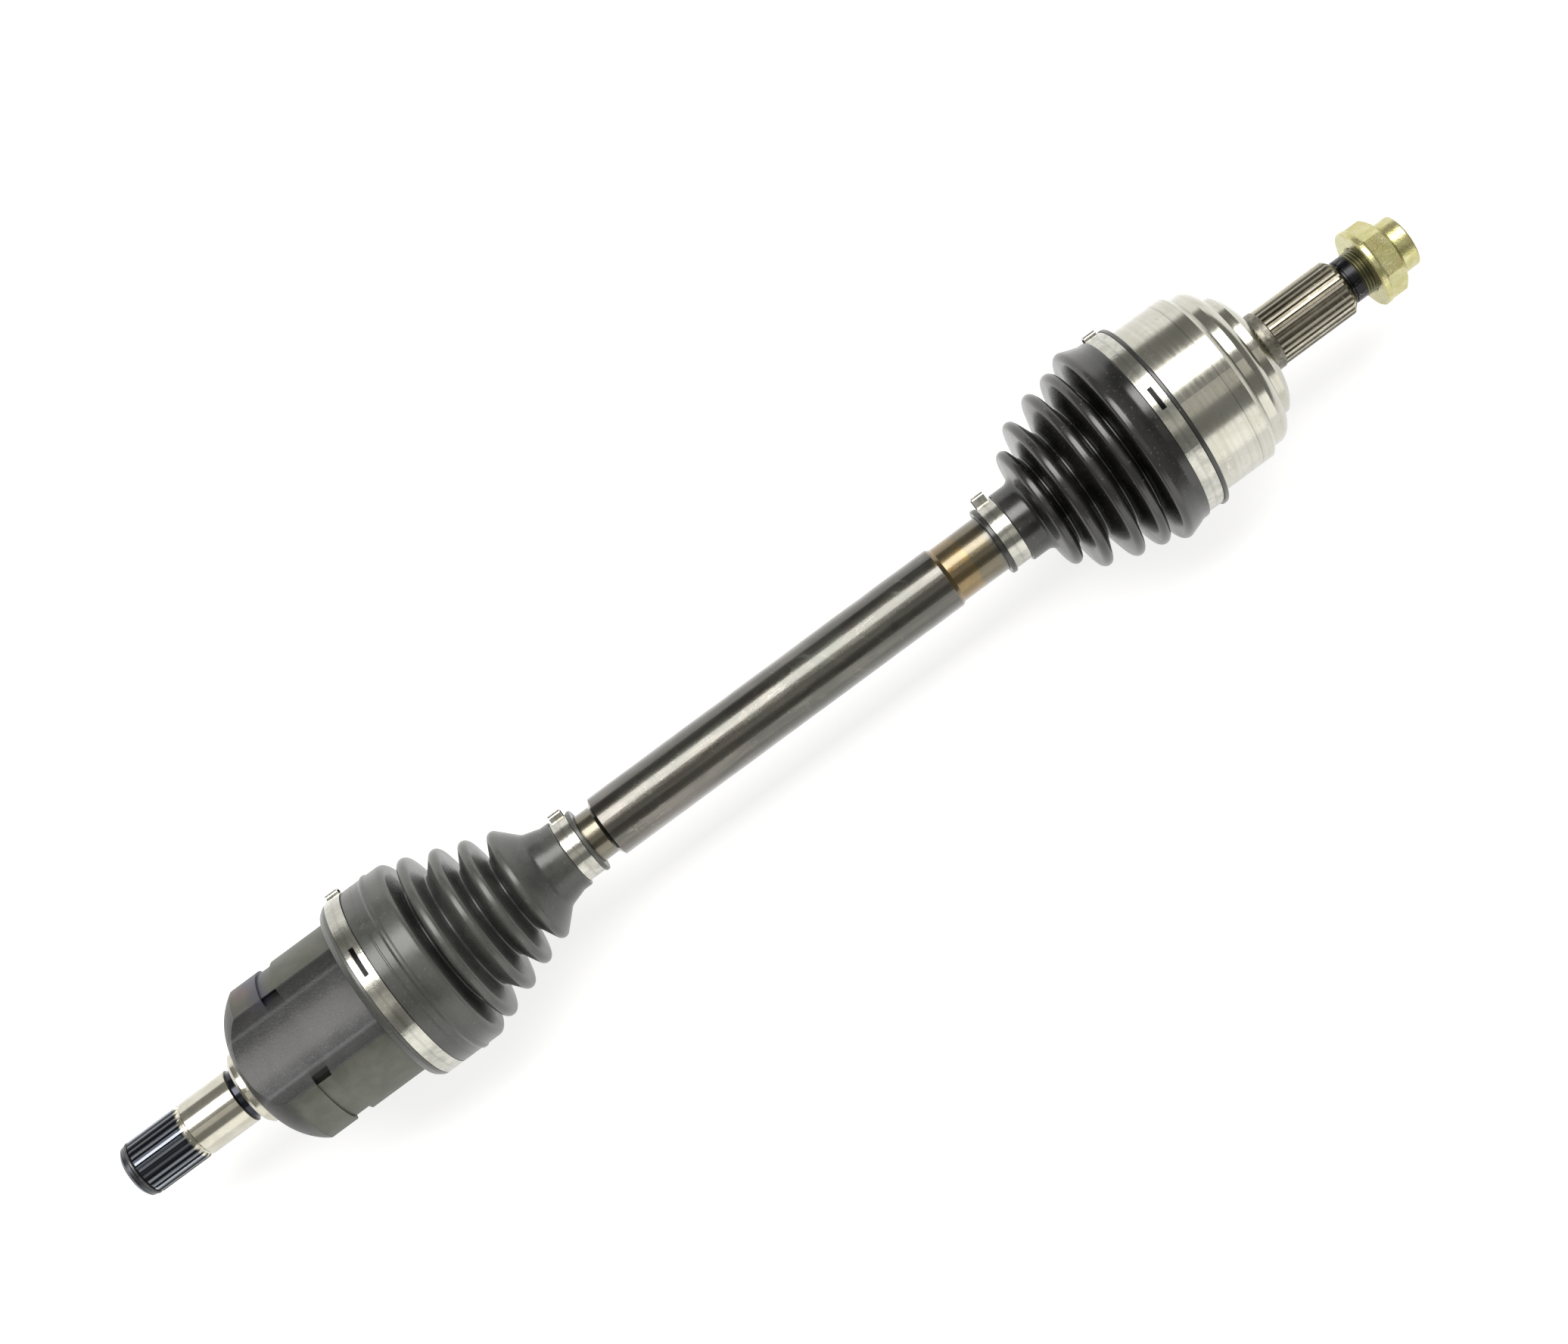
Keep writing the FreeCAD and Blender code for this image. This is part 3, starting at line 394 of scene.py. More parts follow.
def bell_material():
    """Bright turned bell; brown heat-stained stub; blackened undercut."""
    material, t, shader = new_material("turned_steel", Metallic=1.0)
    point, axes = t.object_axes()
    x = axes[0]
    r = t.radius(axes)
    marks = t.use(TURNING, Pitch=1400.0, Waver=0.5)
    spots = t.use(MOTTLE, Size=55.0)
    lines = t.use(SCRATCHES, Amount=0.8)
    steel = t.mix(spots.outputs["Stain"], (0.455, 0.445, 0.385), (0.53, 0.52, 0.465))
    steel = t.mix(t.math("MULTIPLY", marks.outputs["Mask"], 0.35), steel, (0.37, 0.36, 0.305))
    brown = t.mix(spots.outputs["Stain"], (0.11, 0.098, 0.072), (0.22, 0.20, 0.155))
    crest = t.past(r, STUB_TOOTH_R)
    brown = t.mix(t.math("MULTIPLY", crest, 0.75), brown, (0.36, 0.345, 0.29))
    on_stub = t.past(x, STUB_START)
    colour = t.mix(on_stub, steel, brown)
    neck = t.along(x, STUB_NECK, 0.5)
    blotch = t.step(t.noise(point, 260.0, 4.0, 0.6, 0.5), 0.40, 0.60)
    scorched = t.mix(blotch, (0.06, 0.058, 0.050), (0.19, 0.18, 0.15))
    colour = t.mix(t.math("MULTIPLY", neck, 0.75), colour, scorched)
    shank = t.along(x, STUB_SHANK, 0.3)
    colour = t.mix(shank, colour, (0.024, 0.024, 0.026))
    thread = t.mix(spots.outputs["Grain"], (0.13, 0.125, 0.07), (0.24, 0.235, 0.15))
    colour = t.mix(t.past(x, THREAD_START), colour, thread)
    pits = t.math("MULTIPLY", spots.outputs["Speck"], t.math("SUBTRACT", 1.0, on_stub))
    colour = t.mix(t.math("MULTIPLY", pits, 0.35), colour, (0.30, 0.28, 0.23))
    ring = t.along(x, BELL_LINE, 0.12)
    colour = t.mix(t.math("MULTIPLY", ring, 0.55), colour, (0.22, 0.21, 0.19))
    colour = t.mix(t.math("MULTIPLY", lines.outputs["Mask"], 0.7), colour, (0.72, 0.71, 0.66))
    t.link(colour, shader.inputs["Base Color"])
    rough = t.mix_value(on_stub, 0.13, 0.34)
    rough = t.mix_value(shank, rough, 0.20)
    rough = t.math("ADD", rough, t.math("MULTIPLY", spots.outputs["Grain"], 0.07))
    rough = t.math("ADD", rough, t.math("MULTIPLY", marks.outputs["Mask"], 0.05))
    t.link(rough, shader.inputs["Roughness"])
    height = t.math("ADD", marks.outputs["Height"], t.math("MULTIPLY", spots.outputs["Grain"], 0.3))
    t.link(t.bump(height, 0.22, 0.00006), shader.inputs["Normal"])
    return material


def lobed_housing_material():
    """Smooth turned lobes, rough dark forged valleys with painted highlight lines on their ridges, painted sheen
    down their middles and painted shade along their sides, painted shade in the notches, ground stub, dark spline.
    """
    material, t, shader = new_material("forged_and_turned_steel")
    point, axes = t.object_axes()
    x = axes[0]
    r = t.radius(axes)
    marks = t.use(TURNING, Pitch=1000.0, Waver=0.4)
    spots = t.use(MOTTLE, Size=90.0)
    fine = t.use(MOTTLE, Size=420.0)
    around = t.around(axes)
    lobe = t.math("COSINE", t.math("MULTIPLY_ADD", around, 3.0, -3.0 * LOBE_TURN))
    valley = t.step(lobe, 0.27, 0.15)
    valley = t.math("MULTIPLY", valley, t.past(x, LOBE_ENDS))
    cap = t.product(t.past(x, CAP_END), t.math("MULTIPLY", t.past(x, CAP_START), 0.85))
    forged = t.math("MAXIMUM", valley, cap)
    smooth = t.mix(spots.outputs["Stain"], (0.115, 0.118, 0.100), (0.140, 0.143, 0.124))
    dark = t.mix(spots.outputs["Stain"], (0.028, 0.028, 0.029), (0.042, 0.042, 0.043))
    sparkle = t.step(t.noise(point, 1500.0, 3.0, 0.7), 0.52, 0.72)
    dark = t.mix(t.math("MULTIPLY", sparkle, 0.45), dark, (0.16, 0.16, 0.165))
    dark = t.mix(t.math("MULTIPLY", fine.outputs["Speck"], 0.45), dark, (0.14, 0.14, 0.145))
    turn = t.node("ShaderNodeMath", operation="FLOORED_MODULO")
    t.link(t.math("ADD", around, 2 * math.pi - LOBE_TURN), turn.inputs[0])
    turn.inputs[1].default_value = 2 * math.pi / 3
    off_middle = t.math("SUBTRACT", turn.outputs[0], math.pi / 3)
    side = t.math("ABSOLUTE", t.math("MULTIPLY", r, t.math("SINE", off_middle)))
    # Across each valley: painted highlight lines along its two ridges, painted shade in the strips beside the
    # lobes, painted sheen down its middle.
    painted_ridge_highlight = t.along(side, (14.2, 15.4), 0.9)
    painted_recess_shade = t.past(side, (15.6, 16.6))
    painted_valley_sheen = t.past(side, (11.0, 5.0))
    # Painted sheen, painted highlights and painted shade mixed into the forged colour.
    dark = t.mix(t.math("MULTIPLY", painted_valley_sheen, 0.5), dark, (0.085, 0.085, 0.083))
    dark = t.mix(t.math("MULTIPLY", painted_ridge_highlight, 0.40), dark, (0.13, 0.13, 0.135))
    dark = t.mix(t.math("MULTIPLY", painted_recess_shade, 0.5), dark, (0.02, 0.02, 0.02))
    colour = t.mix(forged, smooth, dark)
    # Painted shade: the faces sunk inside the notch pockets are darkened nearly black.
    notch_painted_shade = t.product(t.along(x, NOTCH_RING, 0.1), t.past(r, NOTCH_R), t.step(lobe, -0.30, 0.05))
    colour = t.mix(t.math("MULTIPLY", notch_painted_shade, 0.8), colour, (0.010, 0.010, 0.010))
    stub = t.past(x, INBOARD_STUB)
    ground = t.mix(spots.outputs["Stain"], (0.46, 0.44, 0.37), (0.54, 0.52, 0.45))
    colour = t.mix(stub, colour, ground)
    groove = t.along(x, SEAL_GROOVE, 0.2)
    spline = t.past(x, INBOARD_SPLINE)
    colour = t.mix(groove, colour, (0.035, 0.037, 0.045))
    teeth = t.mix(t.past(r, SPLINE_TOOTH_R), (0.03, 0.034, 0.042), (0.16, 0.17, 0.19))
    colour = t.mix(spline, colour, teeth)
    heat = t.noise(point, 28.0, 3.0)
    wander = t.math("SUBTRACT", t.noise(point, 75.0, 3.0, 0.6), 0.5)
    tint_place = t.math("MULTIPLY_ADD", wander, 26.0 * MM, x)
    tint_x = t.along(tint_place, HEAT_TINT, 7.0)
    tint = t.product(tint_x, t.past(axes[1], (22.0, 32.0)), t.step(heat, 0.38, 0.58))
    bloom = t.mix(t.past(tint_place, TINT_TURNS_BLUE),
                  (0.15, 0.088, 0.085), (0.054, 0.059, 0.15))
    colour = t.mix(t.math("MULTIPLY", tint, 0.52), colour, bloom)
    t.link(colour, shader.inputs["Base Color"])
    t.link(t.mix_value(forged, 0.95, 0.70), shader.inputs["Metallic"])
    shader.inputs["Coat Roughness"].default_value = 0.38
    t.link(t.math("MULTIPLY", forged, 0.30), shader.inputs["Coat Weight"])
    rough = t.mix_value(forged, 0.46, 0.52)
    rough = t.mix_value(stub, rough, 0.12)
    rough = t.mix_value(spline, rough, 0.26)
    rough = t.math("ADD", rough, t.math("MULTIPLY", spots.outputs["Grain"], 0.08))
    t.link(rough, shader.inputs["Roughness"])
    rough_skin = t.math("ADD", t.noise(point, 900.0, 4.0, 0.65),
                        t.math("MULTIPLY", spots.outputs["Stain"], 0.4))
    height = t.mix_value(forged, t.math("MULTIPLY", marks.outputs["Height"], 0.25), rough_skin)
    t.link(t.bump(height, 0.55, 0.00035), shader.inputs["Normal"])
    return material


def bar_material():
    """Dark heat-treated bar: drawn streaks along it, and an amber ring of old lacquer."""
    material, t, shader = new_material("heat_treated_bar", Metallic=1.0, Coat_Roughness=0.08)
    point, axes = t.object_axes()
    x = axes[0]
    spots = t.use(MOTTLE, Size=48.0)
    lines = t.use(SCRATCHES, Amount=0.35)
    streak = t.noise(t.stretched(axes, 14.0, 150.0, 150.0), 1.0, 4.0, 0.6, 0.3)
    scale = t.mix(t.step(streak, 0.35, 0.66), (0.066, 0.058, 0.050), (0.135, 0.124, 0.106))
    scale = t.mix(t.math("MULTIPLY", spots.outputs["Stain"], 0.65), scale, (0.080, 0.086, 0.075))
    around = t.around(axes)
    slant = t.math("MULTIPLY_ADD", around, 0.011, x)
    smear_point = t.join(t.math("MULTIPLY", slant, 75.0), t.math("MULTIPLY", around, 0.5), 0.0)
    smear = t.noise(smear_point, 1.0, 3.0, 0.65, 0.3)
    smear = t.math("MULTIPLY", t.step(smear, 0.60, 0.70), t.math("MULTIPLY_ADD", streak, 0.9, 0.1))
    scale = t.mix(t.math("MULTIPLY", smear, 0.8), scale, (0.165, 0.175, 0.150))
    rub = t.step(t.noise(point, 85.0, 4.0, 0.65, 0.4), 0.60, 0.72)
    scale = t.mix(t.math("MULTIPLY", rub, 0.55), scale, (0.045, 0.036, 0.034))
    amber_edge = t.math("MULTIPLY", t.math("SUBTRACT", t.noise(point, 130.0, 3.0), 0.5), 0.006)
    where = t.math("ADD", x, amber_edge)
    lacquer = t.along(where, LACQUER, 1.0)
    fade = t.along(where, LACQUER_FADE, 3.0)
    colour = t.mix(t.math("MULTIPLY", fade, 0.75), scale, (0.130, 0.104, 0.058))
    worn = t.math("MULTIPLY_ADD", spots.outputs["Stain"], -0.5, 0.95)
    lacquer = t.math("MULTIPLY", lacquer, worn)
    colour = t.mix(lacquer, colour, (0.205, 0.135, 0.045))
    neck = t.past(x, BAR_NECK)
    colour = t.mix(neck, colour, (0.135, 0.122, 0.088))
    colour = t.mix(t.math("MULTIPLY", lines.outputs["Mask"], 0.6), colour, (0.5, 0.47, 0.42))
    t.link(colour, shader.inputs["Base Color"])
    rough = t.math("MULTIPLY_ADD", streak, 0.12, 0.16)
    rough = t.math("ADD", rough, t.math("MULTIPLY", spots.outputs["Stain"], 0.08))
    rough = t.math("ADD", rough, t.math("MULTIPLY", smear, 0.15))
    t.link(rough, shader.inputs["Roughness"])
    t.link(t.math("MULTIPLY_ADD", spots.outputs["Stain"], -0.25, 1.0), shader.inputs["Coat Weight"])
    height = t.math("ADD", t.math("MULTIPLY", streak, 0.6), t.noise(point, 1500.0, 3.0, 0.6))
    t.link(t.bump(height, 0.30, 0.00012), shader.inputs["Normal"])
    return material


def rubber_material(name, low, high, rough, ior, dust_colour, dust_share, crest_wear_and_sheen_colour):
    """Moulded rubber: fine grain, faint flow marks, dust in patches, crests paler, partly from rubbing wear and
    partly as painted sheen.

    Its colour wanders from low to high.
    """
    material, t, shader = new_material(name, IOR=ior)
    crest = t.node("ShaderNodeAttribute", attribute_name="crest").outputs["Fac"]
    point, axes = t.object_axes()
    spots = t.use(MOTTLE, Size=70.0)
    r = t.radius(axes)
    colour = t.mix(spots.outputs["Stain"], low, high)
    # Crests painted paler: partly rubbing wear, partly painted sheen where light catches the crest tops.
    wear_and_sheen = t.math("MULTIPLY", crest, t.math("MULTIPLY_ADD", spots.outputs["Grain"], 0.5, 0.55))
    colour = t.mix(wear_and_sheen, colour, crest_wear_and_sheen_colour)
    dust = t.math("MULTIPLY", spots.outputs["Stain"], t.noise(point, 420.0, 3.0, 0.6))
    colour = t.mix(t.math("MULTIPLY", dust, dust_share), colour, dust_colour)
    colour = t.mix(t.math("MULTIPLY", spots.outputs["Speck"], 0.12), colour, (0.32, 0.31, 0.29))
    t.link(colour, shader.inputs["Base Color"])
    value = t.math("MULTIPLY_ADD", spots.outputs["Grain"], 0.14, rough)
    value = t.math("ADD", value, t.math("MULTIPLY", dust, 0.12))
    t.link(value, shader.inputs["Roughness"])
    ring_point = t.join(t.math("MULTIPLY", axes[0], 60.0), t.math("MULTIPLY", r, 220.0), 0.0)
    rings = t.noise(ring_point, 3.0, 2.0)
    height = t.math("ADD", t.math("MULTIPLY", t.noise(point, 1800.0, 3.0, 0.6), 0.5),
                    t.math("MULTIPLY", rings, 0.6))
    t.link(t.bump(height, 0.25, 0.00018), shader.inputs["Normal"])
    return material


def band_material():
    """Rolled stainless strip: fine lines round the band, small dents and smears."""
    material, t, shader = new_material("stainless_strip", Metallic=1.0)
    axes = t.object_axes()[1]
    marks = t.use(TURNING, Pitch=2600.0, Waver=1.2)
    spots = t.use(MOTTLE, Size=120.0)
    lines = t.use(SCRATCHES, Amount=0.6)
    off = None
    for name in ("outboard_large_clamp", "outboard_small_clamp", "inboard_small_clamp",
                 "inboard_large_clamp"):
        low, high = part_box(name)
        mine = t.math("ABSOLUTE", t.math("SUBTRACT", axes[0], (low.x + high.x) / 2))
        off = mine if off is None else t.math("MINIMUM", off, mine)
    rolled_edge = t.past(off, (2.5, 3.3))
    middle_line = t.past(off, (0.9, 0.3))
    colour = t.mix(spots.outputs["Stain"], (0.36, 0.355, 0.315), (0.52, 0.515, 0.465))
    colour = t.mix(t.math("MULTIPLY", spots.outputs["Speck"], 0.5), colour, (0.30, 0.28, 0.25))
    colour = t.mix(t.math("MULTIPLY", lines.outputs["Mask"], 0.5), colour, (0.36, 0.35, 0.33))
    t.link(t.math("MULTIPLY_ADD", spots.outputs["Grain"], 0.12, 0.15), shader.inputs["Roughness"])
    colour = t.mix(t.math("MULTIPLY", middle_line, 0.25), colour, (0.20, 0.19, 0.17))
    around = t.around(axes)
    for name, first, last in CLAMP_SLOTS:
        low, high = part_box(name)
        middle = (low.x + high.x) / 2
        along = t.between(axes[0], middle - SLOT_HALF * MM, middle + SLOT_HALF * MM, 0.1 * MM)
        about = t.between(around, math.radians(first), math.radians(last), 0.004)
        colour = t.mix(t.math("MULTIPLY", along, about), colour, (0.01, 0.01, 0.01))
    t.link(colour, shader.inputs["Base Color"])
    height = t.math("ADD", marks.outputs["Height"], t.math("MULTIPLY", spots.outputs["Stain"], 1.2))
    height = t.math("ADD", height, t.math("MULTIPLY", rolled_edge, 2.5))
    t.link(t.bump(height, 0.30, 0.00010), shader.inputs["Normal"])
    return material


def zinc_material():
    """Yellow zinc plate: pale gold with green and pink blushes and a frosted grain."""
    material, t, shader = new_material("yellow_zinc", Metallic=0.9)
    point = t.object_axes()[0]
    spots = t.use(MOTTLE, Size=150.0)
    blush = t.noise(point, 95.0, 3.0, 0.55, 0.5)
    gold = t.mix(spots.outputs["Stain"], (0.46, 0.425, 0.185), (0.56, 0.53, 0.30))
    gold = t.mix(t.math("MULTIPLY", t.step(blush, 0.55, 0.68), 0.45), gold, (0.40, 0.47, 0.22))
    gold = t.mix(t.math("MULTIPLY", t.step(blush, 0.42, 0.30), 0.40), gold, (0.56, 0.40, 0.26))
    frost = t.noise(point, 1100.0, 3.0, 0.7)
    gold = t.mix(t.math("MULTIPLY", t.step(frost, 0.48, 0.62), 0.30), gold, (0.30, 0.30, 0.13))
    t.link(gold, shader.inputs["Base Color"])
    t.link(t.math("MULTIPLY_ADD", frost, 0.30, 0.12), shader.inputs["Roughness"])
    height = t.math("ADD", frost, t.math("MULTIPLY", spots.outputs["Stain"], 0.5))
    t.link(t.bump(height, 0.55, 0.00016), shader.inputs["Normal"])
    return material


def ground_steel_material():
    """Hardened and ground bearing steel with a film of grease."""
    material, t, shader = new_material("ground_bearing_steel", Metallic=1.0)
    spots = t.use(MOTTLE, Size=130.0)
    marks = t.use(TURNING, Pitch=3000.0, Waver=1.0)
    colour = t.mix(spots.outputs["Stain"], (0.50, 0.49, 0.46), (0.63, 0.62, 0.60))
    t.link(colour, shader.inputs["Base Color"])
    t.link(t.math("MULTIPLY_ADD", spots.outputs["Grain"], 0.10, 0.15), shader.inputs["Roughness"])
    t.link(t.bump(marks.outputs["Height"], 0.12, 0.00004), shader.inputs["Normal"])
    return material


def spring_steel_material():
    """Blackened spring steel with bright spots worn by rubbing."""
    material, t, shader = new_material("blackened_spring_steel", Metallic=0.85)
    point = t.object_axes()[0]
    spots = t.use(MOTTLE, Size=200.0)
    colour = t.mix(spots.outputs["Stain"], (0.045, 0.045, 0.05), (0.14, 0.135, 0.13))
    t.link(colour, shader.inputs["Base Color"])
    t.link(t.math("MULTIPLY_ADD", spots.outputs["Grain"], 0.2, 0.28), shader.inputs["Roughness"])
    t.link(t.bump(t.noise(point, 1600.0, 3.0), 0.25, 0.0001), shader.inputs["Normal"])
    return material


def bushing_material():
    """Dark moulded plastic with a dull skin."""
    material, t, shader = new_material("dark_moulded_bushing", IOR=1.46)
    point = t.object_axes()[0]
    spots = t.use(MOTTLE, Size=160.0)
    colour = t.mix(spots.outputs["Stain"], (0.022, 0.022, 0.024), (0.050, 0.050, 0.052))
    t.link(colour, shader.inputs["Base Color"])
    t.link(t.math("MULTIPLY_ADD", spots.outputs["Grain"], 0.2, 0.45), shader.inputs["Roughness"])
    t.link(t.bump(t.noise(point, 1400.0, 3.0), 0.3, 0.00015), shader.inputs["Normal"])
    return material


FINISHES = {
    "bell_steel": bell_material(),
    "forged_steel": lobed_housing_material(),
    "bar_steel": bar_material(),
    "bearing_steel": ground_steel_material(),
    "spring_steel": spring_steel_material(),
    "band_steel": band_material(),
    "nut_zinc": zinc_material(),
    "boot_black": rubber_material(
        "black_rubber", low=(0.0028, 0.0028, 0.0028), high=(0.0055, 0.0054, 0.0052), rough=0.13,
        ior=1.6, dust_colour=(0.045, 0.042, 0.036), dust_share=0.16,
        crest_wear_and_sheen_colour=(0.016, 0.0158, 0.0148)),
    "boot_grey": rubber_material(
        "grey_rubber", low=(0.030, 0.0315, 0.029), high=(0.040, 0.042, 0.039), rough=0.19,
        ior=1.55, dust_colour=(0.085, 0.085, 0.075), dust_share=0.22,
        crest_wear_and_sheen_colour=(0.055, 0.057, 0.051)),
    "bushing_plastic": bushing_material(),
}


def dress(piece, slot_name):
    """Give a piece its finish."""
    piece.data.materials.clear()
    piece.data.materials.append(FINISHES[slot_name])


for entry in frame["record"]["subparts"]:
    dress(NODES[entry["node"]], entry["material_slot"])


# ---------------------------------------------------------------------------
# Boots: sizes in mm; u runs along a boot from its small end, r from the axis
# ---------------------------------------------------------------------------
WALL = 1.8
BEND_R = 1.75                 # radius that the middle of the wall turns on at each bend
TURNS = 224                   # points round a boot
SWAY_2, SWAY_3 = 0.16, 0.09   # heights of the slow waves round a boot
SOFT_CREST = 7.5              # reach along u that a crest is judged within
CLEAR = 6.0                   # length over which the sway fades out

# (share of the length, share of the rise, 1 for a crest and -1 for a valley)
OUTBOARD_PLEATS = (
    (0.127, 0.453, 1), (0.206, 0.209, -1), (0.286, 0.763, 1), (0.397, 0.383, -1),
    (0.508, 0.920, 1), (0.603, 0.502, -1), (0.698, 1.010, 1), (0.778, 0.592, -1),
    (0.857, 1.150, 1))
INBOARD_PLEATS = (
    (0.253, 0.416, 1), (0.366, 0.089, -1), (0.455, 0.560, 1), (0.576, 0.227, -1),
    (0.656, 0.722, 1), (0.785, 0.455, -1), (0.871, 0.893, 1), (0.958, 0.480, -1))
SPLIT_BEND = 6                # the inboard boot's parts meet at this bend
CLAMP_SEAT = 8.4              # width of a large clamp's seat


def shared_bends(shares, u0, u1, r0, r1):
    """Bends between u0 and u1 whose outer surface is at its share of the rise from r0 to r1.

    The centre lies under a crest's surface, or over a valley's, by the bend's
    radius, plus half the wall at a crest and less half of it in a valley.
    """
    bends = []
    for along, up, side in shares:
        surface = r0 + up * (r1 - r0)
        centre = surface - side * (BEND_R + side * WALL / 2)
        bends.append((u0 + along * (u1 - u0), centre, BEND_R, side))
    return bends


def boot_grid(name, outer, inner, start_x, way, slot_name, sway_from, sway_to):
    """Closed boot: its outer line out along u, its inner line back, turned round X.

    way is 1 where u runs towards +X and -1 where it runs the other way.
    Between sway_from and sway_to the radius falls by up to twice SWAY_2 + SWAY_3,
    in waves of two and three round the boot that drift along it, as moulded
    rubber does when it has been packed and handled. The fall grows with the
    radius, from none at the small end.
    """
    line = np.concatenate([outer, inner[::-1]])
    u, r = line[:, 0], line[:, 1]
    a = np.arange(TURNS) * (2 * math.pi / TURNS)
    free = np.clip((r - r[0]) / (r.max() - r[0]), 0, 1) * window(u, sway_from, sway_to, CLEAR)
    sway = (SWAY_2 * np.sin(2 * a + 0.21 * u[:, None])
            + SWAY_3 * np.sin(3 * a - 0.33 * u[:, None] + 1.0) - (SWAY_2 + SWAY_3))
    radius = (r[:, None] + free[:, None] * sway) * MM
    x = (start_x / MM + way * u) * MM
    piece = turned_grid(name, x[::way], radius[::way], TURNS)
    paint_crests(piece, outer, inner, way)
    piece.data.materials.append(FINISHES[slot_name])
    return piece


def paint_crests(piece, outer, inner, way):
    """Attribute crest: 1 on the tops of the pleats, 0 in the valleys and inside; the rubber's colour turns paler
    with it, partly as rubbing wear and partly as painted sheen.

    At each point of the outer line it is the radius's place between the lowest
    and highest radius within SOFT_CREST either way along u, its lower 0.45 cut
    off and the rest raised to the power 1.5. A plain wall counts as 0.7.
    """
    near = np.abs(outer[:, None, 0] - outer[None, :, 0]) < SOFT_CREST
    high = np.where(near, outer[None, :, 1], -1e9).max(1)
    low = np.where(near, outer[None, :, 1], 1e9).min(1)
    share = np.where(high - low > 2.0, (outer[:, 1] - low) / np.maximum(high - low, 1e-6), 0.7)
    share = np.clip((share - 0.45) / 0.45, 0, 1) ** 1.5
    values = np.concatenate([share, np.zeros(len(inner))])[::way]
    layer = piece.data.attributes.new("crest", "FLOAT", "POINT")
    layer.data.foreach_set("value", np.repeat(values, TURNS).astype(np.float32))


def window(u, low, high, soft):
    """1 inside low..high and 0 outside, with soft sides."""
    return np.clip((u - low) / soft, 0, 1) * np.clip((high - u) / soft, 0, 1)


def small_end(bore, seat, bead, shoulder, u_seat, u_shoulder, u_last, bead_corner):
    """Outer line of a boot's small end: bead, sunk seat for the clamp, and shoulder."""
    return rounded_line([
        (0, bore, 0), (0, bead, bead_corner), (u_seat, bead, 0.5), (u_seat, seat, 0.15),
        (u_shoulder, seat, 0.15), (u_shoulder, shoulder, 0.8), (u_last, shoulder, 0)])


def pleated_wall(first, bends, last, offset, arc_count=9, flank_count=4):
    """A boot's surface: its small end's line, the wave over the bends, its large end's line."""
    wave = wave_line(bends, first[-1], last[0], offset, arc_count, flank_count)
    return np.concatenate([first[:-1], wave, last])


def clip_line(line, at, keep_low):
    """The part of a line on one side of u = at, cut exactly there."""
    u = line[:, 0]
    k = np.argmax(u > at)
    share = (at - u[k - 1]) / (u[k] - u[k - 1])
    cut = (line[k - 1] + share * (line[k] - line[k - 1]))[None]
    return np.concatenate([line[:k], cut] if keep_low else [cut, line[k:]])


def outboard_boot():
    """Black boot from the bar to the bell: nine bends, a smooth funnel and a lipped mouth."""
    start_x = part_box("outboard_boot")[0].x
    bore = 13.85
    seat, bead, shoulder = bore + 1.25, bore + 2.85, bore + 3.45
    u_shoulder = 10.8
    u_wave = u_shoulder + 7.5
    u_mouth = (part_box("outboard_housing")[0].x - start_x) / MM
    u_end = u_mouth - 3.3
    u_band = u_mouth - 0.2
    u_lip = u_band + CLAMP_SEAT
    bell_seat = 42.0
    large = bell_seat + 3.25
    lip = large + 1.7
    funnel_r = 5.0
    bends = [(u_wave + 0.1, shoulder + funnel_r - WALL / 2, funnel_r, -1)]
    bends += shared_bends(OUTBOARD_PLEATS, u_wave, u_end, shoulder, large + 0.7)
    small_out = small_end(bore, seat, bead, shoulder, 2.4, u_shoulder, u_wave - 1.5, 0.8)
    large_out = rounded_line([
        (u_end, lip, 0), (u_band, lip - 0.1, 0.5), (u_band, large, 0.15), (u_lip, large, 0.15),
        (u_lip, lip, 0.4), (u_lip + 2.0, lip, 0.9), (u_lip + 2.0, bell_seat, 0)])
    small_in = np.array([(0.3, bore), (u_wave - 2.5, bore)])
    large_in = np.array([
        (u_end + 1.0, lip - WALL - 0.3), (u_mouth - 0.3, lip - WALL - 0.6),
        (u_mouth - 0.3, bell_seat), (u_lip + 1.7, bell_seat)])
    outer = pleated_wall(small_out, bends, large_out, WALL / 2)
    inner = pleated_wall(small_in, bends, large_in, -WALL / 2, 5, 2)
    piece = boot_grid("pleated_boot_outboard", outer, inner, start_x, 1, "boot_black",
                      u_wave, u_mouth - 1.0)
    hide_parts("outboard_boot")
    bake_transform(piece)


